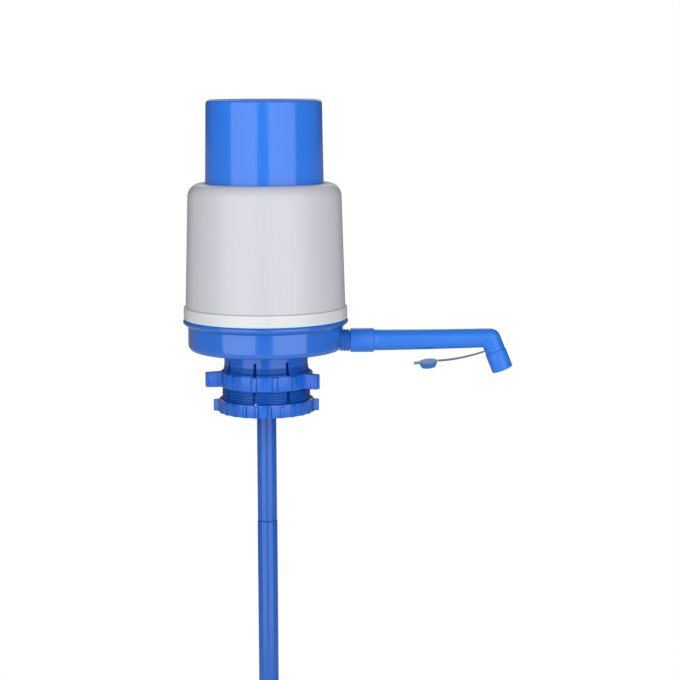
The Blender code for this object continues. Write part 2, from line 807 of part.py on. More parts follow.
def spout_stations():
    """Centre, direction, radius and reach in the XZ plane, from the socket to the mouth."""
    along = Vector((1, 0, 0))
    stations = []

    def straight(x, radius):
        stations.append((spout_axis(x), along, radius, radius))

    socket_end = spout_start_x + spout_socket_length
    straight(spout_start_x, spout_socket_radius)
    straight(socket_end - 2 * spout_bead_width, spout_socket_radius)
    straight(socket_end - spout_bead_width * 3 / 2, spout_socket_radius + spout_bead)
    straight(socket_end, spout_socket_radius + spout_bead)
    root_x = socket_end + spout_bead_width / 2
    for i in range(spout_curve_steps + 1):
        share = i / spout_curve_steps
        straight(root_x + (spout_tube_end_x - root_x) * share,
                 spout_root_radius + (spout_end_radius - spout_root_radius) * share)
    pivot = stations[-1][0] - Vector((0, 0, spout_end_radius + elbow_inner_radius))
    for turn in elbow_turns():
        spoke = Vector((math.sin(turn), 0, math.cos(turn)))
        direction = Vector((math.cos(turn), 0, -math.sin(turn)))
        share = turn / math.radians(elbow_turn)
        radius = spout_end_radius + (nozzle_neck_radius - spout_end_radius) * share
        reach = (elbow_reach(turn) - elbow_inner_radius) / 2
        stations.append((pivot + (reach + elbow_inner_radius) * spoke, direction, radius, reach))
    end, direction, _, _ = stations[-1]
    groove_end = nozzle_neck_length - strap_ring_above_tip + seat_gap
    groove_start = groove_end - strap_ring_width - 2 * seat_gap
    for distance, radius in (
        (groove_start, nozzle_neck_radius),
        (groove_start, strap_groove_radius),
        (groove_end, strap_groove_radius),
        (groove_end, nozzle_neck_radius),
        (nozzle_neck_length, nozzle_neck_radius),
        (nozzle_neck_length, nozzle_tip_radius),
        (nozzle_neck_length + nozzle_tip_length - nozzle_mouth_edge, nozzle_tip_radius),
        (nozzle_neck_length + nozzle_tip_length, nozzle_tip_radius - nozzle_mouth_edge),
    ):
        stations.append((end + distance * direction, direction, radius, radius))
    return stations


def spout(mat):
    stations = spout_stations()
    loops = [disc_loop(c, d, r, tube_facets, reach) for c, d, r, reach in stations]
    socket_floor_x = spigot_end_x + 2 * seat_gap
    bends = stations[-elbow_rings - 9:-8]
    mouth, nozzle_way, _, _ = stations[-1]
    loops.append(disc_loop(mouth, nozzle_way, spout_bore, tube_facets))
    for centre, direction, radius, reach in reversed(bends):
        loops.append(disc_loop(centre, direction, spout_bore, tube_facets, reach - radius + spout_bore))
    level = stations[0][0]
    floor = spout_axis(socket_floor_x)
    along = Vector((1, 0, 0))
    socket_bore_radius = spigot_radius + seat_gap
    loops.append(disc_loop(floor, along, spout_bore, tube_facets))
    loops.append(disc_loop(Vector((socket_floor_x, 0, level.z)), along, socket_bore_radius, tube_facets))
    loops.append(disc_loop(level, along, socket_bore_radius, tube_facets))
    bm = bmesh.new()
    lofted(bm, loops)
    bmesh.ops.translate(bm, vec=-level, verts=bm.verts[:])
    return finish("spout", bm, mat, location=level)


def nozzle_frame():
    """Centre of the strap ring on the nozzle neck, and the way the nozzle points."""
    shoulder, direction, _, _ = spout_stations()[-4]
    back = strap_ring_above_tip + strap_ring_width / 2
    return shoulder - back * direction, direction


def strap_ring(mat, parent):
    inner = strap_groove_radius + seat_gap
    outer = inner + strap_ring_wall
    half = strap_ring_width / 2
    profile = [(inner, -half), (outer, -half), (outer, half), (inner, half)]
    return turned_object("strap_ring", profile, small_facets, mat, parent=parent)


def strap_root():
    """Where the strap leaves its ring, on the side that faces back along the tube."""
    centre, direction = nozzle_frame()
    back = Vector((-direction.z, 0, direction.x))
    if back.x > 0:
        back = -back
    reach = strap_groove_radius + seat_gap + strap_ring_wall + seat_gap
    return centre + reach * back


def strap_curve(count):
    """A drooping line from the ring to the middle of the plug, seen from the side."""
    points = []
    for i in range(count + 1):
        s = i / count
        fall = strap_sag_share * s + (1 - strap_sag_share) * (1 - (1 - s) ** 2)
        points.append(Vector((-strap_length * s, 0, -strap_drop * fall)))
    return points


def plug_way():
    """The way that the strap points where it meets the plug."""
    tilt = math.radians(plug_tilt)
    return Vector((-math.cos(tilt), 0, -math.sin(tilt)))


def plug_strap(mat, root):
    line = strap_curve(strap_steps)
    side = Vector((0, strap_width / 2, 0))
    bm = bmesh.new()
    rows = []
    for i, p in enumerate(line):
        ahead = line[min(i + 1, strap_steps)] - line[max(i - 1, 0)]
        direction = plug_way() if i == strap_steps else ahead.normalized()
        half = (strap_thickness if i else strap_hinge_thickness) / 2
        up = half * Vector((0, 1, 0)).cross(direction)
        rows.append([bm.verts.new(q) for q in (p - side - up, p + side - up, p + side + up, p - side + up)])
    for here, there in zip(rows, rows[1:]):
        for j in range(4):
            k = (j + 1) % 4
            bm.faces.new((here[j], here[k], there[k], there[j]))
    bm.faces.new(rows[0])
    bm.faces.new(list(reversed(rows[-1])))
    return finish("plug_strap", bm, mat, location=root)


def outlet_plug(mat, root):
    """The plug hangs under the end of its strap, its nose down, with a tab to pull."""
    end = strap_curve(strap_steps)[-1]
    middle = end + (plug_cap_radius + seat_gap) * plug_way()
    tilted = Matrix.Rotation(-math.radians(plug_tilt), 4, "Y")
    top = strap_thickness / 2
    profile = [
        (0.0, top),
        (plug_cap_radius - plug_bevel, top),
        (plug_cap_radius, top - plug_bevel),
        (plug_cap_radius, top - plug_cap_height + plug_bevel),
        (plug_cap_radius - plug_bevel, top - plug_cap_height),
        (plug_nose_radius, top - plug_cap_height),
        (plug_tip_radius, top - plug_cap_height - plug_nose_height + plug_bevel),
        (plug_tip_radius - plug_bevel, top - plug_cap_height - plug_nose_height),
        (0.0, top - plug_cap_height - plug_nose_height),
    ]
    bm = bmesh.new()
    turned(bm, profile, small_facets, closed=False)
    bmesh.ops.transform(bm, matrix=tilted, verts=bm.verts[:])
    plug = finish("outlet_plug", bm, mat, location=root + middle)
    tab = bmesh.new()
    low = (-plug_cap_radius - plug_tab_reach, -plug_tab_width / 2, top - strap_thickness)
    block(tab, low, (-plug_cap_radius + union_bite, plug_tab_width / 2, top))
    bmesh.ops.transform(tab, matrix=Matrix.Translation(root + middle) @ tilted, verts=tab.verts[:])
    boolean(plug, guide("plug_tab", tab), "UNION")
    return plug


def tube_profile(radius, top_z, shoulder_z, tenon):
    """A length of tube, with or without the narrower tenon at its foot."""
    bore = radius - tube_wall
    outside = [(radius, shoulder_z), (radius, top_z - tube_edge), (radius - tube_edge, top_z)]
    if not tenon:
        return [(bore, top_z), (bore, shoulder_z), *outside]
    tenon_outer = tube_lower_radius - tube_wall - seat_gap
    tenon_z = shoulder_z - tube_overlap
    tenon_bore = tenon_outer - tube_tenon_wall
    return [
        (bore, top_z),
        (bore, shoulder_z + tube_wall),
        (tenon_bore, shoulder_z),
        (tenon_bore, tenon_z),
        (tenon_outer, tenon_z),
        (tenon_outer, shoulder_z),
        *outside,
    ]


def dip_tubes(mat):
    turned_object("dip_tube_upper", tube_profile(tube_upper_radius, tube_top_z, tube_first_joint_z, True),
                  tube_facets, mat)
    turned_object("dip_tube_middle",
                  tube_profile(tube_lower_radius, tube_first_joint_z - seat_gap, tube_second_joint_z, True),
                  tube_facets, mat)
    lower = turned_object("dip_tube_lower",
                          tube_profile(tube_lower_radius, tube_second_joint_z - seat_gap, tube_foot_z, False),
                          tube_facets, mat)
    bm = bmesh.new()
    reach = tube_lower_radius + cut_overrun
    for i in range(2 * foot_notches):
        turn = math.pi * i / foot_notches
        block(bm, (tube_lower_radius / 2, -foot_notch_width / 2, tube_foot_z - cut_overrun),
              (reach, foot_notch_width / 2, tube_foot_z + foot_notch_height), turn)
    boolean(lower, guide("foot_notch_cut", bm), "DIFFERENCE")


def build():
    for obj in list(bpy.data.objects):
        bpy.data.objects.remove(obj, do_unlink=True)

    cap_blue = material("cap_blue", (0.035, 0.19, 0.78), 0.16)
    base_blue = material("base_blue", (0.02, 0.14, 0.66), 0.2)
    collar_blue = material("collar_blue", (0.012, 0.09, 0.52), 0.22)
    spout_blue = material("spout_blue", (0.03, 0.19, 0.75), 0.2)
    shell_grey = material("shell_grey", (0.68, 0.69, 0.74), 0.3)
    band_white = material("band_white", (0.72, 0.73, 0.72), 0.3)
    bellows_white = material("bellows_white", (0.78, 0.79, 0.8), 0.5)
    valve_rubber = material("valve_rubber", (0.62, 0.25, 0.12), 0.6)
    gasket_rubber = material("gasket_rubber", (0.78, 0.78, 0.75), 0.6)
    seal_rubber = material("seal_rubber", (0.03, 0.03, 0.03), 0.5)
    tube_blue = material("tube_blue", (0.1, 0.35, 0.8), 0.25)
    strap_grey = material("strap_grey", (0.12, 0.14, 0.2), 0.4)

    base_bowl(base_blue)
    housing_band(band_white)
    upper_housing(shell_grey)
    press_cap(cap_blue)
    valve_plate(band_white)
    bellows(bellows_white)
    bellows_clamp(band_white)
    check_valve("intake_valve", valve_rubber, intake_disc_radius,
                (0, 0, plate_top_z + seat_gap), True)
    check_valve("delivery_valve", valve_rubber, delivery_disc_radius,
                (well_x, 0, plate_bottom_z - seat_gap), False)
    neck_gasket(gasket_rubber)
    split_collar(collar_blue)
    wing_ring(collar_blue)
    lower_ring(collar_blue)
    o_ring(seal_rubber)
    spout(spout_blue)
    centre, direction = nozzle_frame()
    nozzle_axis = empty("nozzle_axis", centre, math.pi - math.atan2(direction.x, -direction.z))
    strap_ring(spout_blue, nozzle_axis)
    root = strap_root()
    plug_strap(strap_grey, root)
    outlet_plug(cap_blue, root)
    dip_tubes(tube_blue)


build()
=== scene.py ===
import math
import bpy
import bmesh
from mathutils import Matrix, Vector


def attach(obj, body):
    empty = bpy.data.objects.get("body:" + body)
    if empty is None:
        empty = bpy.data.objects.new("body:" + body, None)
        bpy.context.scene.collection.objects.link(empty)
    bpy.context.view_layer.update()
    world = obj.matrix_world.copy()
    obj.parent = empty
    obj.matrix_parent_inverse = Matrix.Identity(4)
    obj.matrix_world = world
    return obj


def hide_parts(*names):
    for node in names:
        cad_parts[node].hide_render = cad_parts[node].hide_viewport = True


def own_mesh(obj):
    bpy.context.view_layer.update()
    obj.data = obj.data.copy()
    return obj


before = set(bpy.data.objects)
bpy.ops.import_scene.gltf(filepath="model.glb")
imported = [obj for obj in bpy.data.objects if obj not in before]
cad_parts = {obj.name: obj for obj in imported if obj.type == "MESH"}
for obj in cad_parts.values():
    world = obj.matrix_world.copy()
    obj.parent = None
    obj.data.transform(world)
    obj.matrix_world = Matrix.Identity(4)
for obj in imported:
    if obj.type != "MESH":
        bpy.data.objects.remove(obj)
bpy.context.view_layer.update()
scene = bpy.context.scene
mm = 0.001
overrun = 1.0 * mm  # how far a cut reaches past its piece
sharpStep = 0.01 * mm  # the width of a step that has to look sharp
weldDistance = 0.002 * mm  # corners closer than this become one


# Camera at the photograph's angle, its eye a little above the top of the cap
cameraSetup = {
    "eye": (54.84 * mm, -1350.0 * mm, 200.1 * mm),
    "target": (54.84 * mm, 0.0, 7.63 * mm),
    "roll": -0.0034,  # the photograph leans a little
    "frameWidth": 503.2 * mm,  # what the picture takes in at the pump's axis
    "sensorWidth": 36.0,
    "clipEnd": 100.0,
}


def makeCamera(setup):
    eye, target = Vector(setup["eye"]), Vector(setup["target"])
    data = bpy.data.cameras.new("photoCamera")
    data.sensor_width = setup["sensorWidth"]
    data.lens = data.sensor_width * (target - eye).length / setup["frameWidth"]
    data.clip_end = setup["clipEnd"]
    camera = bpy.data.objects.new("photoCamera", data)
    camera.location = eye
    aim = (target - eye).to_track_quat("-Z", "Y").to_matrix() @ Matrix.Rotation(setup["roll"], 3, "Z")
    camera.rotation_euler = aim.to_euler()
    scene.collection.objects.link(camera)
    scene.camera = camera


makeCamera(cameraSetup)
print("camera placed")


# Mesh helpers that every piece shares
cornerRule = {"tooShort": 1e-7, "onAxis": 1e-6, "nearlyStraight": math.radians(150), "sideShare": 0.45}
edgeBevel = {"steps": 2, "fromAngle": math.radians(40)}


def turnedShape(profile, steps, closed=True, matrix=None):  # profile of (radius, height), spun round Z
    bm = bmesh.new()
    verts = [bm.verts.new((r, 0.0, z)) for r, z in profile]
    edges = [bm.edges.new(pair) for pair in zip(verts, verts[1:])]
    if closed:
        edges.append(bm.edges.new((verts[-1], verts[0])))
    bmesh.ops.spin(bm, geom=verts + edges, cent=(0, 0, 0), axis=(0, 0, 1),
                   angle=math.tau, steps=steps, use_merge=True)
    bmesh.ops.remove_doubles(bm, verts=bm.verts[:], dist=weldDistance)
    if matrix is not None:
        bmesh.ops.transform(bm, matrix=matrix, verts=bm.verts[:])
    bmesh.ops.recalc_face_normals(bm, faces=bm.faces[:])
    return bm


def rounded(profile, radius, steps):  # swaps each sharp corner of a closed profile for an arc
    out = []
    n = len(profile)
    for i in range(n):
        before, here, after = (Vector(profile[(i + k) % n]) for k in (-1, 0, 1))
        a, b = before - here, after - here
        if min(a.length, b.length) < cornerRule["tooShort"]:
            continue
        angle = a.angle(b)
        if angle > cornerRule["nearlyStraight"] or here.x < cornerRule["onAxis"]:
            out.append(tuple(here))
            continue
        most = cornerRule["sideShare"]
        reach = min(radius / math.tan(angle / 2), a.length * most, b.length * most)
        start, end = here + a.normalized() * reach, here + b.normalized() * reach
        for s in range(steps + 1):
            t = s / steps
            p = start * (1 - t) ** 2 + here * 2 * t * (1 - t) + end * t ** 2
            out.append((p.x, p.y))
    return out


def arcPoints(r, z, radius, start, end, steps):
    angles = [math.radians(start + (end - start) * i / steps) for i in range(steps + 1)]
    return [(r + radius * math.cos(a), z + radius * math.sin(a)) for a in angles]


def plainRod(radius, low, high):
    return [(0.0, low), (radius, low), (radius, high), (0.0, high)]


def addBox(bm, low, high, matrix=None):  # a block from its lowest to its highest corner
    made = bmesh.ops.create_cube(bm, size=1.0)
    low, high = Vector(low), Vector(high)
    place = Matrix.Translation((low + high) / 2) @ Matrix.Diagonal((*(high - low), 1.0))
    if matrix is not None:
        place = matrix @ place
    bmesh.ops.transform(bm, matrix=place, verts=made["verts"])
    return bm


def turnedBy(degrees):
    return Matrix.Rotation(math.radians(degrees), 4, "Z")


def looseObject(name, bm):
    mesh = bpy.data.meshes.new(name)
    bm.to_mesh(mesh)
    bm.free()
    obj = bpy.data.objects.new(name, mesh)
    scene.collection.objects.link(obj)
    return obj


def carve(obj, other, operation="DIFFERENCE"):  # cuts or joins one mesh with another and keeps the result
    modifier = obj.modifiers.new("carve", "BOOLEAN")
    modifier.operation = operation
    modifier.solver = "EXACT"
    modifier.object = other
    result = bpy.data.meshes.new_from_object(obj.evaluated_get(bpy.context.evaluated_depsgraph_get()))
    obj.modifiers.clear()
    old = obj.data
    obj.data = result
    result.name = old.name
    bpy.data.meshes.remove(old)
    cutter = other.data
    bpy.data.objects.remove(other)
    bpy.data.meshes.remove(cutter)


def markPaintedShade(obj, rule):  # keeps for each vertex how much painted shade its colour gets, from 0 to 1
    marks = obj.data.attributes.new("recess", "FLOAT", "POINT")
    marks.data.foreach_set("value", [max(0.0, min(1.0, rule(v.co))) for v in obj.data.vertices])


def dressed(obj, body, node, finish, crease=32, bevel=0.0):  # the last touches on every piece
    obj.data.materials.clear()
    obj.data.materials.append(skins[finish])
    obj.data.shade_smooth()
    obj.data.set_sharp_from_angle(angle=math.radians(crease))
    if bevel:
        soften = obj.modifiers.new("softEdge", "BEVEL")
        soften.width = bevel
        soften.segments = edgeBevel["steps"]
        soften.limit_method = "ANGLE"
        soften.angle_limit = edgeBevel["fromAngle"]
        soften.harden_normals = True
    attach(obj, body)
    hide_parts(node)


# Node helpers, and the two node groups that every finish shares
grain = {
    "drift": {"Scale": 26.0, "Detail": 3.0},
    "marks": {"Scale": 1.0, "Detail": 2.0},
    "marksStretch": (900.0, 900.0, 18.0),
    "smudge": {"Scale": 60.0, "Detail": 5.0, "Roughness": 0.6},
    "smudgeRange": (0.42, 0.7),
    "hair": {"Scale": 0.6, "Detail": 1.0, "Distortion": 0.4},
    "hairTurn": (0.3, 0.2, 0.5),
    "hairStretch": (240.0, 900.0, 60.0),
    "hairRange": (0.68, 0.74),
    "hairRoughness": 0.35,
    "peel": {"Scale": 420.0, "Detail": 1.0},
}
# Two of these settings serve painted shade: how dark its colour is against the finish's shade, and how far
# from facing the camera the darkening at silhouettes starts
plainLook = {
    "drift": 0.35, "marks": 0.2, "smudge": 0.06, "scratches": 0.25, "peel": 1.0, "bump": 0.12,
    "bumpDepth": 0.05 * mm, "paintedShadeShare": 0.3, "rimFrom": 0.5, "ior": 1.49, "coat": 0.0,
    "coatRoughness": 0.05, "clear": 0.0, "glow": 0.0, "glowRadius": (0.2, 0.4, 1.0), "glowDepth": 2.0 * mm,
}


def fillSockets(tree, node, values):  # a value is a number, a colour or another node's output
    for name, value in dict(values).items():
        if isinstance(value, bpy.types.NodeSocket):
            tree.links.new(value, node.inputs[name])
        else:
            node.inputs[name].default_value = value


def addNode(tree, kind, values=(), **settings):  # the settings come first, because they choose the sockets
    node = tree.nodes.new("ShaderNode" + kind)
    for name, value in settings.items():
        setattr(node, name, value)
    fillSockets(tree, node, values)
    return node


def worked(tree, operation, *numbers, clamp=False):
    return addNode(tree, "Math", enumerate(numbers), operation=operation, use_clamp=clamp).outputs["Value"]


def noise(tree, place, values):
    return addNode(tree, "TexNoise", {"Vector": place, **values}).outputs["Fac"]


def ranged(tree, value, low, high, most=1.0, **settings):
    values = {"Value": value, "From Min": low, "From Max": high, "To Max": most}
    return addNode(tree, "MapRange", values, **settings).outputs["Result"]


def mixed(tree, share, first, second):
    values = {"Factor": share, "A": first, "B": second}
    return addNode(tree, "Mix", values, data_type="RGBA").outputs["Result"]


def objectPlace(tree):
    return addNode(tree, "TexCoord").outputs["Object"]


def newGroup(name, inputs, outputs):  # the type of an input's value says what kind of socket it gets
    tree = bpy.data.node_groups.new(name, "ShaderNodeTree")
    for socketName, value in inputs.items():
        kind = "NodeSocketColor" if isinstance(value, tuple) else "NodeSocketFloat"
        socket = tree.interface.new_socket(name=socketName, in_out="INPUT", socket_type=kind)
        socket.default_value = value
    for socketName, kind in outputs.items():
        tree.interface.new_socket(name=socketName, in_out="OUTPUT", socket_type=kind)
    return tree, tree.nodes.new("NodeGroupInput").outputs, tree.nodes.new("NodeGroupOutput")


def makeMouldedTone(g, plain):  # slow drift of colour and faint draw marks along Z
    tree, given, out = newGroup(
        "mouldedTone",
        {"Colour": (0.5, 0.5, 0.5, 1), "Shade": (0.4, 0.4, 0.4, 1), "Drift": plain["drift"],
         "Marks": plain["marks"]},
        {"Colour": "NodeSocketColor"})
    place = objectPlace(tree)
    stretched = addNode(tree, "Mapping", {"Vector": place, "Scale": g["marksStretch"]}).outputs["Vector"]
    drift = worked(tree, "MULTIPLY", noise(tree, place, g["drift"]), given["Drift"])
    marks = worked(tree, "MULTIPLY", noise(tree, stretched, g["marks"]), given["Marks"])
    shade = worked(tree, "ADD", drift, marks, clamp=True)
    fillSockets(tree, out, {"Colour": mixed(tree, shade, given["Colour"], given["Shade"])})
    return tree


def makeHandledSkin(g, plain):  # smudges and hairline scratches for roughness, orange peel for height
    tree, given, out = newGroup(
        "handledSkin",
        {"Roughness": 0.2, "Smudge": plain["smudge"], "Scratches": plain["scratches"], "Peel": plain["peel"]},
        {"Roughness": "NodeSocketFloat", "Height": "NodeSocketFloat"})
    place = objectPlace(tree)
    turn = {"Vector": place, "Rotation": g["hairTurn"], "Scale": g["hairStretch"]}
    turned = addNode(tree, "Mapping", turn).outputs["Vector"]
    smudge = ranged(tree, noise(tree, place, g["smudge"]), *g["smudgeRange"])
    hair = ranged(tree, noise(tree, turned, g["hair"]), *g["hairRange"])
    smudgeAmount = worked(tree, "MULTIPLY", smudge, given["Smudge"])
    hairAmount = worked(tree, "MULTIPLY", hair, given["Scratches"])
    peelAmount = worked(tree, "MULTIPLY", noise(tree, place, g["peel"]), given["Peel"])
    rough = worked(tree, "ADD", given["Roughness"], smudgeAmount)
    fillSockets(tree, out, {
        "Roughness": worked(tree, "MULTIPLY_ADD", hairAmount, g["hairRoughness"], rough, clamp=True),
        "Height": worked(tree, "SUBTRACT", peelAmount, hairAmount),
    })
    return tree


mouldedTone = makeMouldedTone(grain, plainLook)
handledSkin = makeHandledSkin(grain, plainLook)


def plasticFinish(name, look):
    look = {**plainLook, **look}
    material = bpy.data.materials.new(name)
    material.use_nodes = True
    tree = material.node_tree
    # painted shade colour: a darker copy of the finish's shade colour, painted into grooves, beside ribs and
    # at silhouettes
    paintedShadeColour = (*(c * look["paintedShadeShare"] for c in look["shade"]), 1)
    tone = {"Colour": (*look["colour"], 1), "Shade": (*look["shade"], 1), "Drift": look["drift"],
            "Marks": look["marks"]}
    colour = addNode(tree, "Group", tone, node_tree=mouldedTone).outputs["Colour"]
    # painted reflection: the colour turns pale blue towards the bottom, as if the band's lower edge mirrored
    # the blue bowl below
    if "paintedBlueReflection" in look:
        low, high, tint = look["paintedBlueReflection"]
        height = addNode(tree, "SeparateXYZ", {"Vector": objectPlace(tree)}).outputs["Z"]
        colour = mixed(tree, ranged(tree, height, high, low), colour, (*tint, 1))
    # painted shade: darkens the colour by the vertex attribute that the shade marks set, in thread grooves
    # and beside ribs
    if "recess" in look:
        mark = addNode(tree, "Attribute", attribute_name="recess").outputs["Fac"]
        colour = mixed(tree, ranged(tree, mark, 0.0, 1.0, look["recess"]), colour, paintedShadeColour)
    # painted shade: Layer Weight's Facing darkens the colour towards the painted shade colour where the
    # surface turns away from the camera, by the finish's rim share
    if "rim" in look:
        facing = addNode(tree, "LayerWeight").outputs["Facing"]
        colour = mixed(tree, ranged(tree, facing, look["rimFrom"], 1.0, look["rim"]), colour, paintedShadeColour)
    wear = {"Roughness": look["roughness"], "Smudge": look["smudge"], "Scratches": look["scratches"],
            "Peel": look["peel"]}
    skin = addNode(tree, "Group", wear, node_tree=handledSkin).outputs
    bump = addNode(tree, "Bump", {"Strength": look["bump"], "Distance": look["bumpDepth"],
                                  "Height": skin["Height"]})
    fillSockets(tree, tree.nodes["Principled BSDF"], {
        "Base Color": colour, "Roughness": skin["Roughness"], "Normal": bump.outputs["Normal"],
        "IOR": look["ior"], "Coat Weight": look["coat"], "Coat Roughness": look["coatRoughness"],
        "Transmission Weight": look["clear"], "Subsurface Weight": look["glow"],
        "Subsurface Radius": look["glowRadius"], "Subsurface Scale": look["glowDepth"],
    })
    return material


# rim in a finish is how far its colour is darkened at silhouettes, a painted shade
finishes = {
    "capBlue": {"colour": (0.028, 0.195, 0.8), "shade": (0.024, 0.175, 0.73), "roughness": 0.14, "coat": 0.25,
                "rim": 0.6},
    "shellGrey": {"colour": (0.59, 0.595, 0.64), "shade": (0.555, 0.56, 0.61), "roughness": 0.3,
                  "rim": 0.5, "rimFrom": 0.6},
    # bandWhite's pale foot is a painted reflection of the blue bowl on the band's lower edge
    "bandWhite": {"colour": (0.685, 0.705, 0.7), "shade": (0.645, 0.665, 0.66), "roughness": 0.28,
                  "rim": 0.5, "rimFrom": 0.6, "paintedBlueReflection": (25.4 * mm, 26.1 * mm, (0.6, 0.78, 1.0))},
    "baseBlue": {"colour": (0.016, 0.15, 0.65), "shade": (0.013, 0.135, 0.59), "roughness": 0.14, "coat": 0.5,
                 "rim": 0.7},
    # collarBlue's recess is how far its colour is darkened in grooves and beside ribs, a painted shade
    "collarBlue": {"colour": (0.011, 0.195, 0.9), "shade": (0.008, 0.15, 0.76), "roughness": 0.18,
                   "clear": 0.25, "coat": 0.15, "rim": 0.75, "recess": 0.8, "paintedShadeShare": 0.22},
    "spoutBlue": {"colour": (0.022, 0.225, 0.9), "shade": (0.018, 0.19, 0.82), "roughness": 0.32,
                  "clear": 0.15, "rim": 0.75},
    "tubeBlue": {"colour": (0.02, 0.17, 0.72), "shade": (0.015, 0.14, 0.62), "roughness": 0.2,
                 "clear": 0.3, "coat": 0.1, "rim": 0.6},
    "strapGrey": {"colour": (0.12, 0.15, 0.22), "shade": (0.1, 0.12, 0.18), "roughness": 0.35, "clear": 0.15},
    "plugBlue": {"colour": (0.03, 0.2, 0.6), "shade": (0.02, 0.15, 0.5), "roughness": 0.3, "clear": 0.15},
    "bellowsWhite": {"colour": (0.8, 0.8, 0.82), "shade": (0.7, 0.7, 0.73), "roughness": 0.5, "glow": 0.2,
                     "glowRadius": (1.0, 0.9, 0.8)},
    "valveRubber": {"colour": (0.6, 0.25, 0.12), "shade": (0.5, 0.2, 0.1), "roughness": 0.55},
    "gasketRubber": {"colour": (0.78, 0.78, 0.74), "shade": (0.68, 0.68, 0.64), "roughness": 0.6},
    "sealRubber": {"colour": (0.02, 0.02, 0.02), "shade": (0.03, 0.03, 0.03), "roughness": 0.45},
}
skins = {name: plasticFinish(name, look) for name, look in finishes.items()}
print("finishes made")


# Press cap: a tall cup with a flat top, its flange under the housing's lip
pressCap = {
    "topZ": 184.5 * mm, "topRadius": 42.35 * mm, "skirtRadius": 43.35 * mm, "housingTopZ": 124.0 * mm,
    "bottomZ": 99.0 * mm, "wall": 2.0 * mm, "roof": 2.5 * mm, "corner": 3.2 * mm, "cornerFrom": 88,
    "cornerSteps": 10, "crown": 0.02 * mm, "fill": 0.6 * mm, "flange": 3.0 * mm, "flangeHeight": 2.4 * mm,
    "locator": 38.8 * mm, "locatorWall": 1.2 * mm, "locatorDepth": 5.0 * mm, "edge": 0.3 * mm, "steps": 192,
}


def makePressCap(c):
    under, inside = c["topZ"] - c["roof"], c["skirtRadius"] - c["wall"]
    flange, flangeZ = c["skirtRadius"] + c["flange"], c["bottomZ"] + c["flangeHeight"]
    locator, locatorZ = c["locator"] + c["locatorWall"], under - c["locatorDepth"]
    cornerR, cornerZ = c["topRadius"] - c["corner"], c["topZ"] - c["corner"]
    profile = [
        (0.0, c["topZ"]), (c["topRadius"] - c["corner"] * 2, c["topZ"] - c["crown"]),
        *arcPoints(cornerR, cornerZ, c["corner"], c["cornerFrom"], 0, c["cornerSteps"]),
        (c["skirtRadius"], c["housingTopZ"]), (c["skirtRadius"], flangeZ),
        (flange, flangeZ), (flange, c["bottomZ"]), (inside, c["bottomZ"]),
        (inside, under - c["fill"]), (inside - c["fill"], under),
        (locator, under), (locator, locatorZ), (c["locator"], locatorZ), (c["locator"], under),
        (0.0, under),
    ]
    cap = looseObject("pressCapShell", turnedShape(profile, c["steps"], closed=False))
    dressed(cap, "cap", "press_cap", "capBlue", bevel=c["edge"])


makePressCap(pressCap)
print("press cap done")


# Upper housing: a drawn shell with a round shoulder, and a sleeve that guides the cap
upperHousing = {
    "footZ": 33.38 * mm, "topZ": 124.0 * mm, "footRadius": 58.85 * mm, "shoulderRadius": 56.4 * mm,
    "round": 10.0 * mm, "roundSteps": 16, "innerSteps": 14, "wall": 2.2 * mm, "opening": 43.8 * mm,
    "lip": 0.8 * mm, "lipSteps": 5, "sleeveWall": 1.9 * mm, "sleeveZ": 101.7 * mm, "sleeveClear": 1.0 * mm,
    "edge": 0.3 * mm, "steps": 192,
}


def makeUpperHousing(h):
    centreR, centreZ = h["shoulderRadius"] - h["round"], h["topZ"] - h["round"]
    sleeve = h["opening"] + h["sleeveWall"]
    joinZ = h["topZ"] - h["wall"] - h["sleeveWall"]
    innerArc = arcPoints(centreR, centreZ, h["round"] - h["wall"], 90, 0, h["innerSteps"])
    profile = [
        (h["footRadius"], h["footZ"]),
        *arcPoints(centreR, centreZ, h["round"], 0, 90, h["roundSteps"]),
        *arcPoints(h["opening"] + h["lip"], h["topZ"] - h["lip"], h["lip"], 90, 180, h["lipSteps"]),
        (h["opening"], h["sleeveZ"]), (sleeve, h["sleeveZ"]), (sleeve, joinZ),
        *[p for p in innerArc if p[0] > sleeve + h["sleeveClear"] and p[1] < joinZ],
        (h["footRadius"] - h["wall"], h["footZ"]),
    ]
    shell = looseObject("upperHousingShell", turnedShape(profile, h["steps"]))
    dressed(shell, "pump_base", "upper_housing", "shellGrey", bevel=h["edge"])


makeUpperHousing(upperHousing)
print("upper housing done")


# Band: the wider off-white ring that joins housing and bowl
housingBand = {
    "radius": 60.25 * mm, "bottomZ": 24.3 * mm, "topZ": 33.3 * mm, "lowerEdge": 1.0 * mm, "lowerSteps": 8,
    "upperEdge": 0.6 * mm, "upperSteps": 4, "lipOuter": 56.35 * mm, "lip": 2.2 * mm, "lipHeight": 4.5 * mm,
    "inner": 53.3 * mm, "webZ": 29.2 * mm, "skirtInner": 57.5 * mm, "steps": 192,
}


def makeHousingBand(b):
    low, high, lipInner = b["lowerEdge"], b["upperEdge"], b["lipOuter"] - b["lip"]
    profile = [
        *arcPoints(b["radius"] - low, b["bottomZ"] + low, low, -90, 0, b["lowerSteps"]),
        *arcPoints(b["radius"] - high, b["topZ"] - high, high, 0, 90, b["upperSteps"]),
        (b["lipOuter"], b["topZ"]), (b["lipOuter"], b["topZ"] + b["lipHeight"]),
        (lipInner, b["topZ"] + b["lipHeight"]), (b["inner"], b["topZ"]), (b["inner"], b["webZ"]),
        (b["skirtInner"], b["webZ"]), (b["skirtInner"], b["bottomZ"]),
    ]
    band = looseObject("housingBandRing", turnedShape(profile, b["steps"]))
    dressed(band, "pump_base", "housing_band", "bandWhite")


makeHousingBand(housingBand)
print("band done")


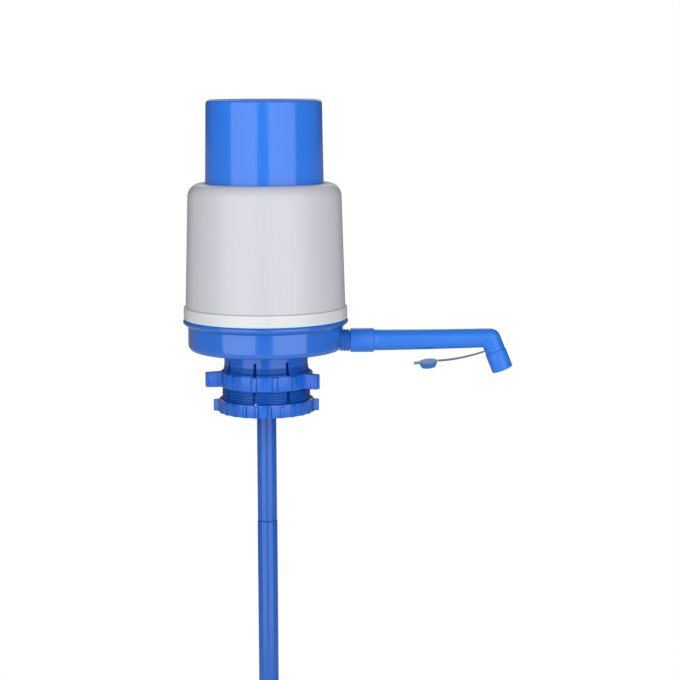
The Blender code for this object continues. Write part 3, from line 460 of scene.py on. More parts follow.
# Base bowl with its hub, socket, water duct and the spigot for the spout
baseBowl = {
    "underZ": 1.0 * mm, "radius": 57.2 * mm, "wall": 2.2 * mm, "floor": 2.5 * mm, "corner": 4.6 * mm,
    "cornerSteps": 10, "rimZ": 28.9 * mm, "flange": 60.85 * mm, "flangeTopZ": 24.0 * mm,
    "flangeRound": 1.6 * mm, "flangeFrom": -50, "flangeSteps": 14, "flangeFootZ": 18.9 * mm,
    "flangeFoot": ((0.0, 0.0), (0.35 * mm, 0.2 * mm), (1.4 * mm, 0.95 * mm)), "recess": 31.2 * mm,
    "ceilingZ": 1.3 * mm, "hubFloor": 2.5 * mm, "hubSkirt": 2.9 * mm, "socket": 9.85 * mm,
    "socketBore": 7.55 * mm, "socketZ": -12.0 * mm, "shelf": 2.2 * mm, "intake": 5.4 * mm,
    "deckZ": 23.0 * mm, "sealOuter": 40.0 * mm, "sealWall": 2.0 * mm, "ductZ": 7.55 * mm,
    "ductRadius": 7.9 * mm, "ductInner": 6.0 * mm, "ductBore": 4.6 * mm, "wellX": 24.0 * mm,
    "wellRadius": 10.0 * mm, "wellBore": 8.0 * mm, "wellFloorZ": 2.45 * mm, "wellRoot": 1.0 * mm,
    "neckEndX": 62.1 * mm, "ribPlaces": (0.5, 2.5), "ribHeight": 0.5 * mm, "ribWidth": 1.1 * mm,
    "ribSteps": 6, "spigot": 7.0 * mm, "spigotEndX": 77.8 * mm, "spigotEdge": 0.7 * mm, "grooveX": 69.1 * mm,
    "grooveWidth": 1.6 * mm, "grooveDepth": 1.3 * mm, "runSteps": 64, "crease": 28, "steps": 160,
}


def bowlProfile(b):
    floorTop, hubTop = b["underZ"] + b["floor"], b["ceilingZ"] + b["hubFloor"]
    inner, seal = b["radius"] - b["wall"], b["sealOuter"] - b["sealWall"]
    hub, shelfZ = b["recess"] + b["hubSkirt"], b["deckZ"] - b["shelf"]
    bead, corner = b["flangeRound"], b["corner"]
    beadR, beadZ = b["flange"] - bead, b["flangeTopZ"] - bead
    return [
        (b["socket"], b["socketZ"]), (b["socket"], b["ceilingZ"]), (b["recess"], b["ceilingZ"]),
        (b["recess"], b["underZ"]),
        *arcPoints(b["radius"] - corner, b["underZ"] + corner, corner, -90, 0, b["cornerSteps"]),
        *[(b["radius"] + out, b["flangeFootZ"] + up) for out, up in b["flangeFoot"]],
        *arcPoints(beadR, beadZ, bead, b["flangeFrom"], 90, b["flangeSteps"]), (b["radius"], b["flangeTopZ"]),
        (b["radius"], b["rimZ"]), (inner, b["rimZ"]), (inner, floorTop), (b["sealOuter"], floorTop),
        (b["sealOuter"], b["deckZ"]), (seal, b["deckZ"]), (seal, floorTop),
        (hub, floorTop), (hub, hubTop), (b["socket"], hubTop), (b["socket"], b["deckZ"]),
        (b["intake"], b["deckZ"]), (b["intake"], shelfZ), (b["socketBore"], shelfZ),
        (b["socketBore"], b["socketZ"]),
    ]


def ductProfile(b):  # along X: duct, ribbed neck, and spigot with the seal's groove
    inner, startR = b["radius"] - b["wall"], b["ductInner"]
    grooved, grooveEnd = b["spigot"] - b["grooveDepth"], b["grooveX"] + b["grooveWidth"]
    ribs = []
    for k in b["ribPlaces"]:
        x = b["radius"] + b["ribWidth"] * k
        ribs += [(b["ductRadius"], x)]
        ribs += [(b["ductRadius"] + b["ribHeight"] * math.sin(math.pi * s / b["ribSteps"]),
                  x + b["ribWidth"] * s / b["ribSteps"]) for s in range(1, b["ribSteps"])]
        ribs += [(b["ductRadius"], x + b["ribWidth"])]
    return [
        (0.0, b["wellX"]), (startR, b["wellX"]), (startR, inner - b["ductRadius"] + startR),
        (b["ductRadius"], inner), *ribs, (b["ductRadius"], b["neckEndX"]), (b["spigot"], b["neckEndX"]),
        (b["spigot"], b["grooveX"]), (grooved, b["grooveX"]), (grooved, grooveEnd), (b["spigot"], grooveEnd),
        (b["spigot"], b["spigotEndX"] - b["spigotEdge"]), (b["spigot"] - b["spigotEdge"], b["spigotEndX"]),
        (0.0, b["spigotEndX"]),
    ]


def makeBaseBowl(b):
    bowl = looseObject("baseBowlShell", turnedShape(bowlProfile(b), b["steps"]))
    along = Matrix.Translation((0, 0, b["ductZ"])) @ Matrix.Rotation(math.pi / 2, 4, "Y")
    halfTurned = Matrix.Rotation(math.pi / b["runSteps"], 4, "Z")
    atWell = Matrix.Translation((b["wellX"], 0, 0)) @ halfTurned
    wellBody = plainRod(b["wellRadius"], b["ceilingZ"] + b["wellRoot"], b["deckZ"])
    ductCut = plainRod(b["ductBore"], b["wellX"], b["spigotEndX"] + overrun)
    wellCut = plainRod(b["wellBore"], b["wellFloorZ"], b["deckZ"] + overrun)
    for name, profile, place, operation in (
            ("ductBody", ductProfile(b), along, "UNION"), ("wellBody", wellBody, atWell, "UNION"),
            ("ductCut", ductCut, along @ halfTurned, "DIFFERENCE"),
            ("wellCut", wellCut, atWell, "DIFFERENCE")):
        carve(bowl, looseObject(name, turnedShape(profile, b["runSteps"], False, place)), operation)
    dressed(bowl, "pump_base", "base_bowl", "baseBlue", crease=b["crease"])


makeBaseBowl(baseBowl)
print("base bowl done")


# Split collar: eight fingers with a fine thread outside, plain lines above the rings, and a bead inside
splitCollar = {
    "bore": 28.25 * mm, "topZ": 1.0 * mm, "bottomZ": -45.3 * mm, "nose": 0.8 * mm,
    "outline": ((-44.5 * mm, 32.7 * mm), (-15.2 * mm, 32.7 * mm), (-13.6 * mm, 31.7 * mm),
                (-9.0 * mm, 30.95 * mm), (-8.5 * mm, 30.9 * mm)),
    "bead": 1.0 * mm, "beadZ": -40.0 * mm, "beadHalf": 2.4 * mm, "pitch": 2.0 * mm, "threadDepth": 1.0 * mm,
    "linePitch": 1.45 * mm, "lineDepth": 0.35 * mm, "lineFromZ": -14.4 * mm, "leastWall": 1.0 * mm,
    "grooveShape": 0.8, "grooveMost": 1.1, "slots": 8, "firstSlot": -57.9, "slotWidth": 2.2 * mm,
    "slotTopZ": -5.2 * mm, "slotInside": 3.0 * mm, "slotPast": 2.0 * mm, "crease": 40, "steps": 160,
    "perPitch": 9,
}


def outlineRadius(outline, z):
    for (z0, r0), (z1, r1) in zip(outline, outline[1:]):
        if z <= z1:
            return r0 + (r1 - r0) * (z - z0) / (z1 - z0)
    return outline[-1][1]


def cutThread(bm, c, foot, head):  # a helical groove up to the flare and plain lines above it
    for v in bm.verts:
        radius = math.hypot(v.co.x, v.co.y)
        if not foot + sharpStep <= v.co.z <= head - sharpStep or radius < c["bore"] + c["leastWall"]:
            continue
        if v.co.z > c["lineFromZ"]:
            phase, depth = (v.co.z - c["lineFromZ"]) / c["linePitch"], c["lineDepth"]
            fade = min(1.0, (head - v.co.z) / c["linePitch"])
        else:
            phase = v.co.z / c["pitch"] - math.atan2(v.co.y, v.co.x) / math.tau
            depth, fade = c["threadDepth"], min(1.0, (v.co.z - foot) / c["pitch"])
            fade = min(fade, (c["lineFromZ"] - v.co.z) / c["pitch"])
        wave = 0.5 - 0.5 * math.cos(math.tau * phase)
        cut = depth * fade * wave ** c["grooveShape"]
        v.co.x *= 1 - cut / radius
        v.co.y *= 1 - cut / radius


def makeSplitCollar(c):
    foot, head, crest = c["outline"][0][0], c["outline"][-1][0], c["outline"][0][1]
    rows = int((head - foot) / c["pitch"] * c["perPitch"])
    heights = [foot + (head - foot) * i / rows for i in range(rows + 1)]
    profile = [
        (c["bore"], c["topZ"]), (c["bore"], c["beadZ"] + 2 * c["beadHalf"]),
        (c["bore"] - c["bead"], c["beadZ"] + c["beadHalf"]), (c["bore"] - c["bead"], c["beadZ"]),
        (c["bore"], c["beadZ"] - c["beadHalf"]), (c["bore"] + c["nose"], c["bottomZ"]),
        (crest - c["nose"], c["bottomZ"]), *[(outlineRadius(c["outline"], z), z) for z in heights],
        (c["outline"][-1][1], c["topZ"]),
    ]
    bm = turnedShape(profile, c["steps"])
    cutThread(bm, c, foot, head)
    collar = looseObject("splitCollarThread", bm)
    slots, half = bmesh.new(), c["slotWidth"] / 2
    for i in range(c["slots"]):
        turn = Matrix.Rotation(math.radians(c["firstSlot"]) + math.tau * i / c["slots"], 4, "Z")
        addBox(slots, (c["bore"] - c["slotInside"], -half, c["bottomZ"] - c["slotPast"]),
               (crest + c["slotPast"], half, c["slotTopZ"]), turn)
    carve(collar, looseObject("collarSlots", slots))

    # painted shade in the thread's groove and lines: the deeper a point lies in them, the darker its colour
    def paintedShadeInGroove(co):
        sunk = outlineRadius(c["outline"], co.z) - math.hypot(co.x, co.y)
        depth = c["lineDepth"] if co.z > c["lineFromZ"] else c["threadDepth"]
        return sunk / depth if foot < co.z < head and sunk < depth * c["grooveMost"] else 0.0

    markPaintedShade(collar, paintedShadeInGroove)
    dressed(collar, "pump_base", "split_collar", "collarBlue", crease=c["crease"])


makeSplitCollar(splitCollar)
print("split collar done")


# Wing ring and lower ring: both run on the collar's thread
wingRing = {
    "bore": 33.0 * mm, "radius": 34.5 * mm, "relief": 0.8 * mm, "panels": 14, "panelShare": 0.24,
    "bottomZ": -25.9 * mm, "topZ": -15.0 * mm, "ribTopZ": -15.5 * mm, "edge": 0.5 * mm, "reach": 45.3 * mm,
    "height": 11.3 * mm, "width": 6.4 * mm, "taper": 0.7 * mm, "angles": (193.0, -31.0),
    "wingFootZ": -25.6 * mm, "flutes": 3, "phase": -102.86, "steps": 504,
}
lowerRing = {
    "bore": 33.0 * mm, "radius": 35.85 * mm, "relief": 0.85 * mm, "panels": 24, "panelShare": 0.25,
    "bottomZ": -45.0 * mm, "topZ": -35.3 * mm, "ribTopZ": -36.8 * mm, "edge": 0.5 * mm, "reach": 39.1 * mm,
    "height": 8.6 * mm, "width": 7.0 * mm, "taper": 0.9 * mm, "angles": (180.0, 0.0),
    "wingFootZ": -44.9 * mm, "flutes": 0, "phase": -84.25, "steps": 480,
}
ringForm = {
    "softShare": 0.3, "boreShare": 0.6, "wallShare": 1.2, "ribStep": 0.3 * mm, "slopeShare": 0.03,
    "near": 0.1 * mm, "wingSink": 0.5 * mm, "wingRound": 0.5 * mm, "wingRoundSteps": 3, "taperRatio": 3,
    # endShade to shadeWidth set the painted shade beside the ribs and at the ring's ends
    "fluteRadius": 0.7 * mm, "fluteOut": 0.35 * mm, "fluteEnd": 0.6, "fluteSteps": 12, "endShade": 0.6,
    "shadeMost": 1.6, "shadePlace": 1.1, "shadeWidth": 0.35 * mm, "crease": 30,
}


def ribOffset(r, co):  # how far a point lies from the middle of its nearest rib, as an angle
    pitch = math.tau / r["panels"]
    angle = math.atan2(co.y, co.x) - math.radians(r["phase"])
    return abs((angle + pitch / 2) % pitch - pitch / 2)


def ringBlank(r, f):
    e, radius = r["edge"], r["radius"]
    soft, mouth = e * f["softShare"], e * f["boreShare"]
    wallZ = (r["bottomZ"] + e, r["ribTopZ"], r["ribTopZ"] + f["ribStep"], r["topZ"] - e)
    profile = [
        (r["bore"], r["bottomZ"] + mouth), (r["bore"] + mouth, r["bottomZ"]),
        (radius - e, r["bottomZ"]), (radius - soft, r["bottomZ"] + soft), *[(radius, z) for z in wallZ],
        (radius - soft, r["topZ"] - soft), (radius - e, r["topZ"]),
        (r["bore"] + mouth, r["topZ"]), (r["bore"], r["topZ"] - mouth),
    ]
    bm = turnedShape(profile, r["steps"])
    pitch = math.tau / r["panels"]
    half, slope = pitch * r["panelShare"] / 2, pitch * f["slopeShare"]
    for v in bm.verts:  # sinks the wall between the raised panels
        radius = math.hypot(v.co.x, v.co.y)
        if radius < r["radius"] - e * f["wallShare"]:
            continue
        sink = r["relief"] * min(1.0, max(0.0, (ribOffset(r, v.co) - half) / slope))
        if v.co.z > r["ribTopZ"] + f["near"]:
            sink = r["relief"]
        v.co.x *= 1 - sink / radius
        v.co.y *= 1 - sink / radius
    return bm


def wingShape(r, f, angle):
    lowZ, half = r["wingFootZ"], r["width"] / 2
    bm = addBox(bmesh.new(), (r["bore"] + f["wingSink"], -half, lowZ), (r["reach"], half, lowZ + r["height"]))
    middle = (r["bore"] + r["reach"]) / 2
    for v in bm.verts:
        if v.co.x > middle:
            v.co.y -= math.copysign(r["taper"], v.co.y)
            v.co.z -= math.copysign(r["taper"] / f["taperRatio"], v.co.z - lowZ - r["height"] / 2)
    edges = [e for e in bm.edges if max(v.co.x for v in e.verts) > middle]
    bmesh.ops.bevel(bm, geom=edges, offset=f["wingRound"], offset_type="OFFSET", affect="EDGES",
                    segments=f["wingRoundSteps"], profile=0.5, material=-1)
    bmesh.ops.transform(bm, matrix=turnedBy(angle), verts=bm.verts[:])
    return bm


def makeRing(r, f, name, body, node):
    flute = plainRod(f["fluteRadius"], r["wingFootZ"] - overrun, r["wingFootZ"] + r["height"] + overrun)
    reach = r["reach"] - r["bore"]
    ring = looseObject(name, ringBlank(r, f))
    for angle in r["angles"]:
        wing = looseObject(name + "Wing", wingShape(r, f, angle))
        for k in range(r["flutes"]):  # upright grooves down both broad faces
            x = r["bore"] + reach * (k + 1) / (r["flutes"] + f["fluteEnd"])
            away = r["width"] / 2 - r["taper"] * (x - r["bore"]) / reach + f["fluteOut"]
            for y in (-away, away):
                place = turnedBy(angle) @ Matrix.Translation((x, y, 0))
                carve(wing, looseObject("groove", turnedShape(flute, f["fluteSteps"], False, place)))
        carve(ring, wing, "UNION")
    half = math.pi / r["panels"] * r["panelShare"]

    # painted shade: darker strips along each raised panel's foot, and at the ring's top and bottom
    def paintedShadeBesideRib(co):
        radius = math.hypot(co.x, co.y)
        if radius > r["radius"] + f["near"] or radius < r["radius"] - r["relief"] - r["edge"]:
            return 0.0
        if co.z > r["topZ"] - f["near"] or co.z < r["bottomZ"] + f["near"]:
            return f["endShade"]
        away = abs(ribOffset(r, co) - half * f["shadePlace"]) * r["radius"]
        return f["shadeMost"] - away / f["shadeWidth"]

    markPaintedShade(ring, paintedShadeBesideRib)
    dressed(ring, body, node, "collarBlue", crease=f["crease"])


makeRing(wingRing, ringForm, "wingRingBody", "upper_clamp", "wing_ring")
makeRing(lowerRing, ringForm, "lowerRingBody", "lower_clamp", "lower_ring")
print("rings done")


# Spout: socket, tube, mitred elbow and nozzle as one moulding, with a groove for the strap's ring.
# The bead and the root are placed in bead widths from the socket's end, with the radius that they add.
spoutRun = {
    "startX": 62.4 * mm, "axisZ": 7.55 * mm, "socket": 8.8 * mm, "socketLength": 17.4 * mm,
    "socketEdge": 0.3 * mm, "root": 7.7 * mm, "end": 7.05 * mm, "bore": 5.6 * mm, "length": 98.0 * mm,
    "tubeSteps": 16, "rise": 1.25 * mm, "cornerRadius": 0.5 * mm, "fillet": 8.0 * mm, "turn": 68.4,
    "bends": 24, "neck": 7.5 * mm, "neckLength": 5.9 * mm, "tip": 7.9 * mm, "tipLength": 14.28 * mm,
    "tipStart": ((0.15 * mm, -0.2 * mm), (0.45 * mm, 0.0)), "mouthEdge": 0.5 * mm, "softShare": 0.3,
    "groove": 6.6 * mm, "grooveStart": 1.5 * mm, "grooveEnd": 5.1 * mm, "socketBore": 7.3 * mm,
    "socketFloorX": 78.4 * mm, "boreEdge": 0.4 * mm, "mouthBevel": 0.3 * mm, "beadWidth": 1.5 * mm,
    "beadPlaces": ((-1.6, 0.0), (-1.4, 0.15 * mm), (-1.2, 0.15 * mm), (-1.0, 0.0), (-0.2, 0.0),
                   (0.0, -0.3 * mm)),
    "rootPlaces": ((0.1, 0.25 * mm), (0.4, 0.0)), "crease": 35, "steps": 64,
}


def elbowReach(s, turn):  # from the elbow's pivot to its outer skin along a spoke
    full = math.radians(s["turn"])
    low, high = s["cornerRadius"] + 2 * s["end"], s["cornerRadius"] + 2 * s["neck"]
    fillet = s["fillet"]
    x = ((high - fillet) - (low - fillet) * math.cos(full)) / math.sin(full)
    z = low - fillet
    if turn < math.atan2(x, low):
        return low / math.cos(turn)
    if turn > math.atan2(x + fillet * math.sin(full), z + fillet * math.cos(full)):
        return high / math.cos(full - turn)
    along = x * math.sin(turn) + z * math.cos(turn)
    return along + math.sqrt(along * along - x * x - z * z + fillet * fillet)


def spoutAxis(s, x):
    share = (x - s["startX"]) / s["length"]
    return Vector((x, 0, s["axisZ"] + s["rise"] * share * share))


def spoutStations(s):  # socket and tube, elbow, nozzle: rows of centre, direction, radius and reach
    along = Vector((1, 0, 0))
    socketEnd, tubeEnd = s["startX"] + s["socketLength"], s["startX"] + s["length"]
    outline = [(s["startX"], s["socket"] - s["socketEdge"]), (s["startX"] + s["socketEdge"], s["socket"])]
    for places, radius in ((s["beadPlaces"], s["socket"]), (s["rootPlaces"], s["root"])):
        outline += [(socketEnd + share * s["beadWidth"], radius + more) for share, more in places]
    for k in range(1, s["tubeSteps"] + 1):
        outline += [(socketEnd + (tubeEnd - socketEnd) * k / s["tubeSteps"],
                     s["root"] + (s["end"] - s["root"]) * k / s["tubeSteps"])]
    run = [(spoutAxis(s, x), along, radius, radius) for x, radius in outline]
    pivot = run[-1][0] - Vector((0, 0, s["end"] + s["cornerRadius"]))
    elbow = []
    for k in range(1, s["bends"] + 1):
        share = k / s["bends"]
        turn = math.radians(s["turn"]) * share
        radius = s["end"] + (s["neck"] - s["end"]) * share
        reach = (elbowReach(s, turn) - s["cornerRadius"]) / 2
        spoke = Vector((math.sin(turn), 0, math.cos(turn)))
        direction = Vector((math.cos(turn), 0, -math.sin(turn)))
        elbow.append((pivot + (reach + s["cornerRadius"]) * spoke, direction, radius, reach))
    end, direction, _, _ = elbow[-1]
    tipEnd, edge, soft = s["neckLength"] + s["tipLength"], s["mouthEdge"], s["mouthEdge"] * s["softShare"]
    nozzle = [(s["grooveStart"], s["neck"]), (s["grooveStart"] + sharpStep, s["groove"]),
              (s["grooveEnd"] - sharpStep, s["groove"]), (s["grooveEnd"], s["neck"]),
              (s["neckLength"], s["neck"]),
              *[(s["neckLength"] + past, s["tip"] + more) for past, more in s["tipStart"]],
              (tipEnd - edge, s["tip"]), (tipEnd - soft, s["tip"] - soft), (tipEnd, s["tip"] - edge)]
    return run, elbow, [(end + past * direction, direction, radius, radius) for past, radius in nozzle]


def ringMatrix(centre, direction, radius, reach):
    side = Vector((0, 1, 0))
    up = side.cross(direction).normalized()
    turn = Matrix((side, up, direction)).transposed().to_4x4()
    return Matrix.Translation(centre) @ turn @ Matrix.Diagonal((radius, reach, 1.0, 1.0))


def extrudedThrough(bm, stations, steps):  # one circle, extruded from station to station
    made = bmesh.ops.create_circle(bm, cap_ends=False, radius=1.0, segments=steps,
                                   matrix=ringMatrix(*stations[0]))
    first = list({e for v in made["verts"] for e in v.link_edges})
    edges = first
    for before, after in zip(stations, stations[1:]):
        made = bmesh.ops.extrude_edge_only(bm, edges=edges)
        verts = [g for g in made["geom"] if isinstance(g, bmesh.types.BMVert)]
        step = ringMatrix(*after) @ ringMatrix(*before).inverted()
        bmesh.ops.transform(bm, matrix=step, verts=verts)
        edges = [g for g in made["geom"] if isinstance(g, bmesh.types.BMEdge)
                 and all(v in verts for v in g.verts)]
    return first, edges


def makeSpout(s):
    run, elbow, nozzle = spoutStations(s)
    along, bore, socketBore, bevelled = run[-1][1], s["bore"], s["socketBore"], s["bore"] + s["mouthBevel"]
    mouth, down, _, _ = nozzle[-1]
    inner = [(mouth, down, bevelled, bevelled), (mouth - s["boreEdge"] * down, down, bore, bore)]
    inner += [(centre, way, bore, reach - radius + bore)
              for centre, way, radius, reach in reversed([run[-1], *elbow])]
    inner += [(spoutAxis(s, s["socketFloorX"]), along, bore, bore)]
    inner += [(Vector((x, 0, s["axisZ"])), along, radius, radius) for x, radius in (
        (s["socketFloorX"] - sharpStep, socketBore), (s["startX"] + s["boreEdge"], socketBore),
        (s["startX"], socketBore + s["boreEdge"]))]
    bm = bmesh.new()
    first, last = extrudedThrough(bm, run + elbow + nozzle + inner, s["steps"])
    bmesh.ops.bridge_loops(bm, edges=first + last)
    bmesh.ops.recalc_face_normals(bm, faces=bm.faces[:])
    dressed(looseObject("spoutTube", bm), "spout", "spout", "spoutBlue", crease=s["crease"])


makeSpout(spoutRun)
print("spout done")


# Strap ring, strap and plug
plugSet = {
    "ringWall": 0.65 * mm, "ringWidth": 3.2 * mm, "ringRound": 0.12 * mm, "ringRoundSteps": 3,
    "ringSteps": 72, "aboveTip": 1.1 * mm, "gap": 0.3 * mm, "strapWidth": 3.6 * mm,
    "strapThickness": 0.8 * mm, "strapEdge": 0.15 * mm, "hinge": 0.5 * mm, "hingeLength": 2.0 * mm,
    "lift": 0.5 * mm, "drop": 6.8 * mm, "length": 34.4 * mm, "sagShare": 0.25, "lookShare": 0.02,
    "lean": 7.5, "steps": 32, "tilt": 6.2, "capRadius": 7.0 * mm, "capRound": 0.45 * mm, "capRoundSteps": 4,
    "capSteps": 96, "rim": 0.9 * mm, "rimStep": 0.3 * mm, "rimFoot": 1.3 * mm, "tipRadius": 5.3 * mm,
    "tipWall": 1.2 * mm, "hollowWall": 1.5 * mm, "hollow": 1.4 * mm, "height": 4.4 * mm,
    "tabReach": 3.6 * mm, "tabRoot": 1.0 * mm, "tabWidth": 5.0 * mm, "tabThickness": 0.8 * mm,
    "tabSunk": 0.05 * mm, "tabRound": 1.6 * mm, "tabRoundSteps": 6, "gripPlace": 1.6 * mm,
    "gripPitch": 0.8 * mm, "grip": (0.35 * mm, 3.6 * mm, 0.3 * mm), "crease": 35,
}


def nozzlePlace(s, p):  # the strap ring's centre, the way the nozzle points, and the strap's root
    end, direction, _, _ = spoutStations(s)[1][-1]
    centre = end + s["neckLength"] * direction - (p["aboveTip"] + p["ringWidth"] / 2) * direction
    back = Vector((direction.z, 0, -direction.x))
    root = centre + (s["groove"] + 2 * p["gap"] + p["ringWall"]) * back + Vector((0, 0, p["lift"]))
    return centre, direction, root


def makeStrapRing(s, p):
    centre, direction, _ = nozzlePlace(s, p)
    inner, half = s["groove"] + p["gap"], p["ringWidth"] / 2
    outer = inner + p["ringWall"]
    profile = rounded([(inner, -half), (outer, -half), (outer, half), (inner, half)], p["ringRound"],
                      p["ringRoundSteps"])
    place = Matrix.Translation(centre) @ direction.to_track_quat("Z", "Y").to_matrix().to_4x4()
    ring = looseObject("strapRingBand", turnedShape(profile, p["ringSteps"], True, place))
    dressed(ring, "strap_collar", "strap_ring", "spoutBlue")


def strapPoint(p, t):  # the strap's middle line, from its ring at 0 to the plug at 1
    fall = p["sagShare"] * t + (1 - p["sagShare"]) * (1 - (1 - t) ** 2)
    return Vector((-p["length"] * t, 0, -p["drop"] * fall))


def makeStrap(s, p):
    _, _, root = nozzlePlace(s, p)
    half, look = p["strapWidth"] / 2, p["lookShare"]
    bm = addBox(bmesh.new(), (0.0, -half, -0.5), (1.0, half, 0.5))  # one long and one thick, till it is bent
    longEdges = [e for e in bm.edges if abs(e.verts[0].co.x - e.verts[1].co.x) > 0.5]
    bmesh.ops.subdivide_edges(bm, edges=longEdges, cuts=p["steps"] - 1, use_grid_fill=True)
    for v in bm.verts:  # bends the bar along its line and thins it to a living hinge at the ring
        t, side = v.co.x, v.co.z
        ahead = (strapPoint(p, min(t + look, 1.0)) - strapPoint(p, max(t - look, 0.0))).normalized()
        up = Vector((0, 1, 0)).cross(ahead)
        full = min(1.0, t * p["length"] / p["hingeLength"])
        thick = p["hinge"] + (p["strapThickness"] - p["hinge"]) * full
        lean = Matrix.Rotation(math.radians(-p["lean"]) * t, 3, ahead)
        v.co = root + strapPoint(p, t) + lean @ (Vector((0, v.co.y, 0)) + up * side * thick)
    bmesh.ops.recalc_face_normals(bm, faces=bm.faces[:])
    strap = looseObject("strapBand", bm)
    dressed(strap, "plug", "plug_strap", "strapGrey", bevel=p["strapEdge"])


def makePlug(s, p):
    _, _, root = nozzlePlace(s, p)
    tilt = math.radians(p["tilt"])
    way = Vector((-math.cos(tilt), 0, -math.sin(tilt)))
    centre = root + strapPoint(p, 1.0) + (p["capRadius"] + p["gap"]) * way
    leaned = Matrix.Rotation(math.radians(p["lean"]), 4, "X")
    place = Matrix.Translation(centre) @ Matrix.Rotation(-tilt, 4, "Y") @ leaned
    cap, tip, top = p["capRadius"], p["tipRadius"], p["strapThickness"] / 2
    foot = top - p["height"]
    outline = [(0.0, top), (cap, top), (cap, top - p["rim"]), (cap - p["rimStep"], top - p["rimFoot"]),
               (tip, foot), (tip - p["tipWall"], foot), (tip - p["hollowWall"], foot + p["hollow"]),
               (0.0, foot + p["hollow"])]
    body = rounded(outline, p["capRound"], p["capRoundSteps"])
    plug = looseObject("outletPlugBody", turnedShape(body, p["capSteps"], False, place))
    tabFootZ, half = top - p["tabThickness"], p["tabWidth"] / 2
    tab = addBox(bmesh.new(), (-cap - p["tabReach"], -half, tabFootZ),
                 (-cap + p["tabRoot"], half, top - p["tabSunk"]))
    ends = [e for e in tab.edges if all(v.co.x < -cap for v in e.verts)
            and abs(e.verts[0].co.z - e.verts[1].co.z) > p["tabThickness"] / 2]
    bmesh.ops.bevel(tab, geom=ends, offset=p["tabRound"], offset_type="OFFSET", affect="EDGES",
                    segments=p["tabRoundSteps"], profile=0.5, material=-1)
    for side in (-1, 0, 1):  # small grip bars under the tab
        bar = bmesh.ops.create_cube(tab, size=1.0)
        where = Matrix.Translation((-cap - p["gripPlace"] + side * p["gripPitch"], 0, tabFootZ))
        bmesh.ops.transform(tab, matrix=where @ Matrix.Diagonal((*p["grip"], 1)), verts=bar["verts"])
    bmesh.ops.transform(tab, matrix=place, verts=tab.verts[:])
    carve(plug, looseObject("plugTab", tab), "UNION")
    dressed(plug, "plug", "outlet_plug", "plugBlue", crease=p["crease"])


makeStrapRing(spoutRun, plugSet)
makeStrap(spoutRun, plugSet)
makePlug(spoutRun, plugSet)
print("strap and plug done")


# Dip tube in three lengths, each lower one taking the tenon of the one above
dipTube = {
    "upper": 7.25 * mm, "lower": 7.45 * mm, "wall": 1.3 * mm, "length": 162.8 * mm, "overlap": 14.0 * mm,
    "firstJointZ": -128.3 * mm, "gap": 0.3 * mm, "tenonWall": 1.1 * mm, "tenonTip": 0.3 * mm,
    "tenonRise": 0.4 * mm, "edge": 0.5 * mm, "softShare": 0.3, "footEdge": 0.25 * mm, "notches": 4,
    "notchWidth": 4.4 * mm, "notchHeight": 6.0 * mm, "crease": 35, "steps": 72,
}


def makeTube(t, name, node, radius, topZ, shoulderZ, tenon):
    bore, edge, soft, foot = radius - t["wall"], t["edge"], t["edge"] * t["softShare"], t["footEdge"]
    inside = [(bore, topZ), (bore, shoulderZ)]
    if tenon:
        outer = t["lower"] - t["wall"] - t["gap"]
        inner, endZ = outer - t["tenonWall"], shoulderZ - t["overlap"]
        inside = [(bore, topZ), (bore, shoulderZ + t["wall"]), (inner, shoulderZ), (inner, endZ),
                  (outer - t["tenonTip"], endZ), (outer, endZ + t["tenonRise"]), (outer, shoulderZ)]
    profile = [*inside, (radius - foot, shoulderZ), (radius, shoulderZ + foot),
               (radius, topZ - edge), (radius - soft, topZ - soft), (radius - edge, topZ)]
    tube = looseObject(name, turnedShape(profile, t["steps"]))
    half, notches = t["notchWidth"] / 2, 0 if tenon else t["notches"]
    for k in range(notches):
        notch = addBox(bmesh.new(), (radius / 2, -half, shoulderZ - overrun),
                       (radius + overrun, half, shoulderZ + t["notchHeight"]), turnedBy(360 / notches * k))
        carve(tube, looseObject("notchCut", notch))
    dressed(tube, "pump_base", node, "tubeBlue", crease=t["crease"])


step = dipTube["length"] - dipTube["overlap"]
firstZ = dipTube["firstJointZ"]
secondZ = firstZ - dipTube["gap"] - step
footZ = secondZ - dipTube["gap"] - dipTube["length"]
for name, node, size, topZ, endZ in (
        ("upperDipTube", "dip_tube_upper", "upper", firstZ + step, firstZ),
        ("middleDipTube", "dip_tube_middle", "lower", firstZ - dipTube["gap"], secondZ),
        ("lowerDipTube", "dip_tube_lower", "lower", secondZ - dipTube["gap"], footZ)):
    makeTube(dipTube, name, node, dipTube[size], topZ, endZ, endZ > footZ)
print("dip tube done")


# Bellows: rounded folds between a foot bead and a closed head
bellowsFolds = {
    "footZ": 26.1 * mm, "topZ": 181.7 * mm, "peak": 38.5 * mm, "peakEdge": 0.6 * mm, "valley": 31.0 * mm,
    "foldShape": 0.8, "wall": 1.5 * mm, "folds": 10, "bead": 41.4 * mm, "beadHeight": 2.0 * mm,
    "beadEdge": 0.5 * mm, "cuff": 3.0 * mm, "roof": 2.0 * mm, "perFold": 12, "crease": 50, "steps": 96,
    "stroke": 53.0 * mm,
}


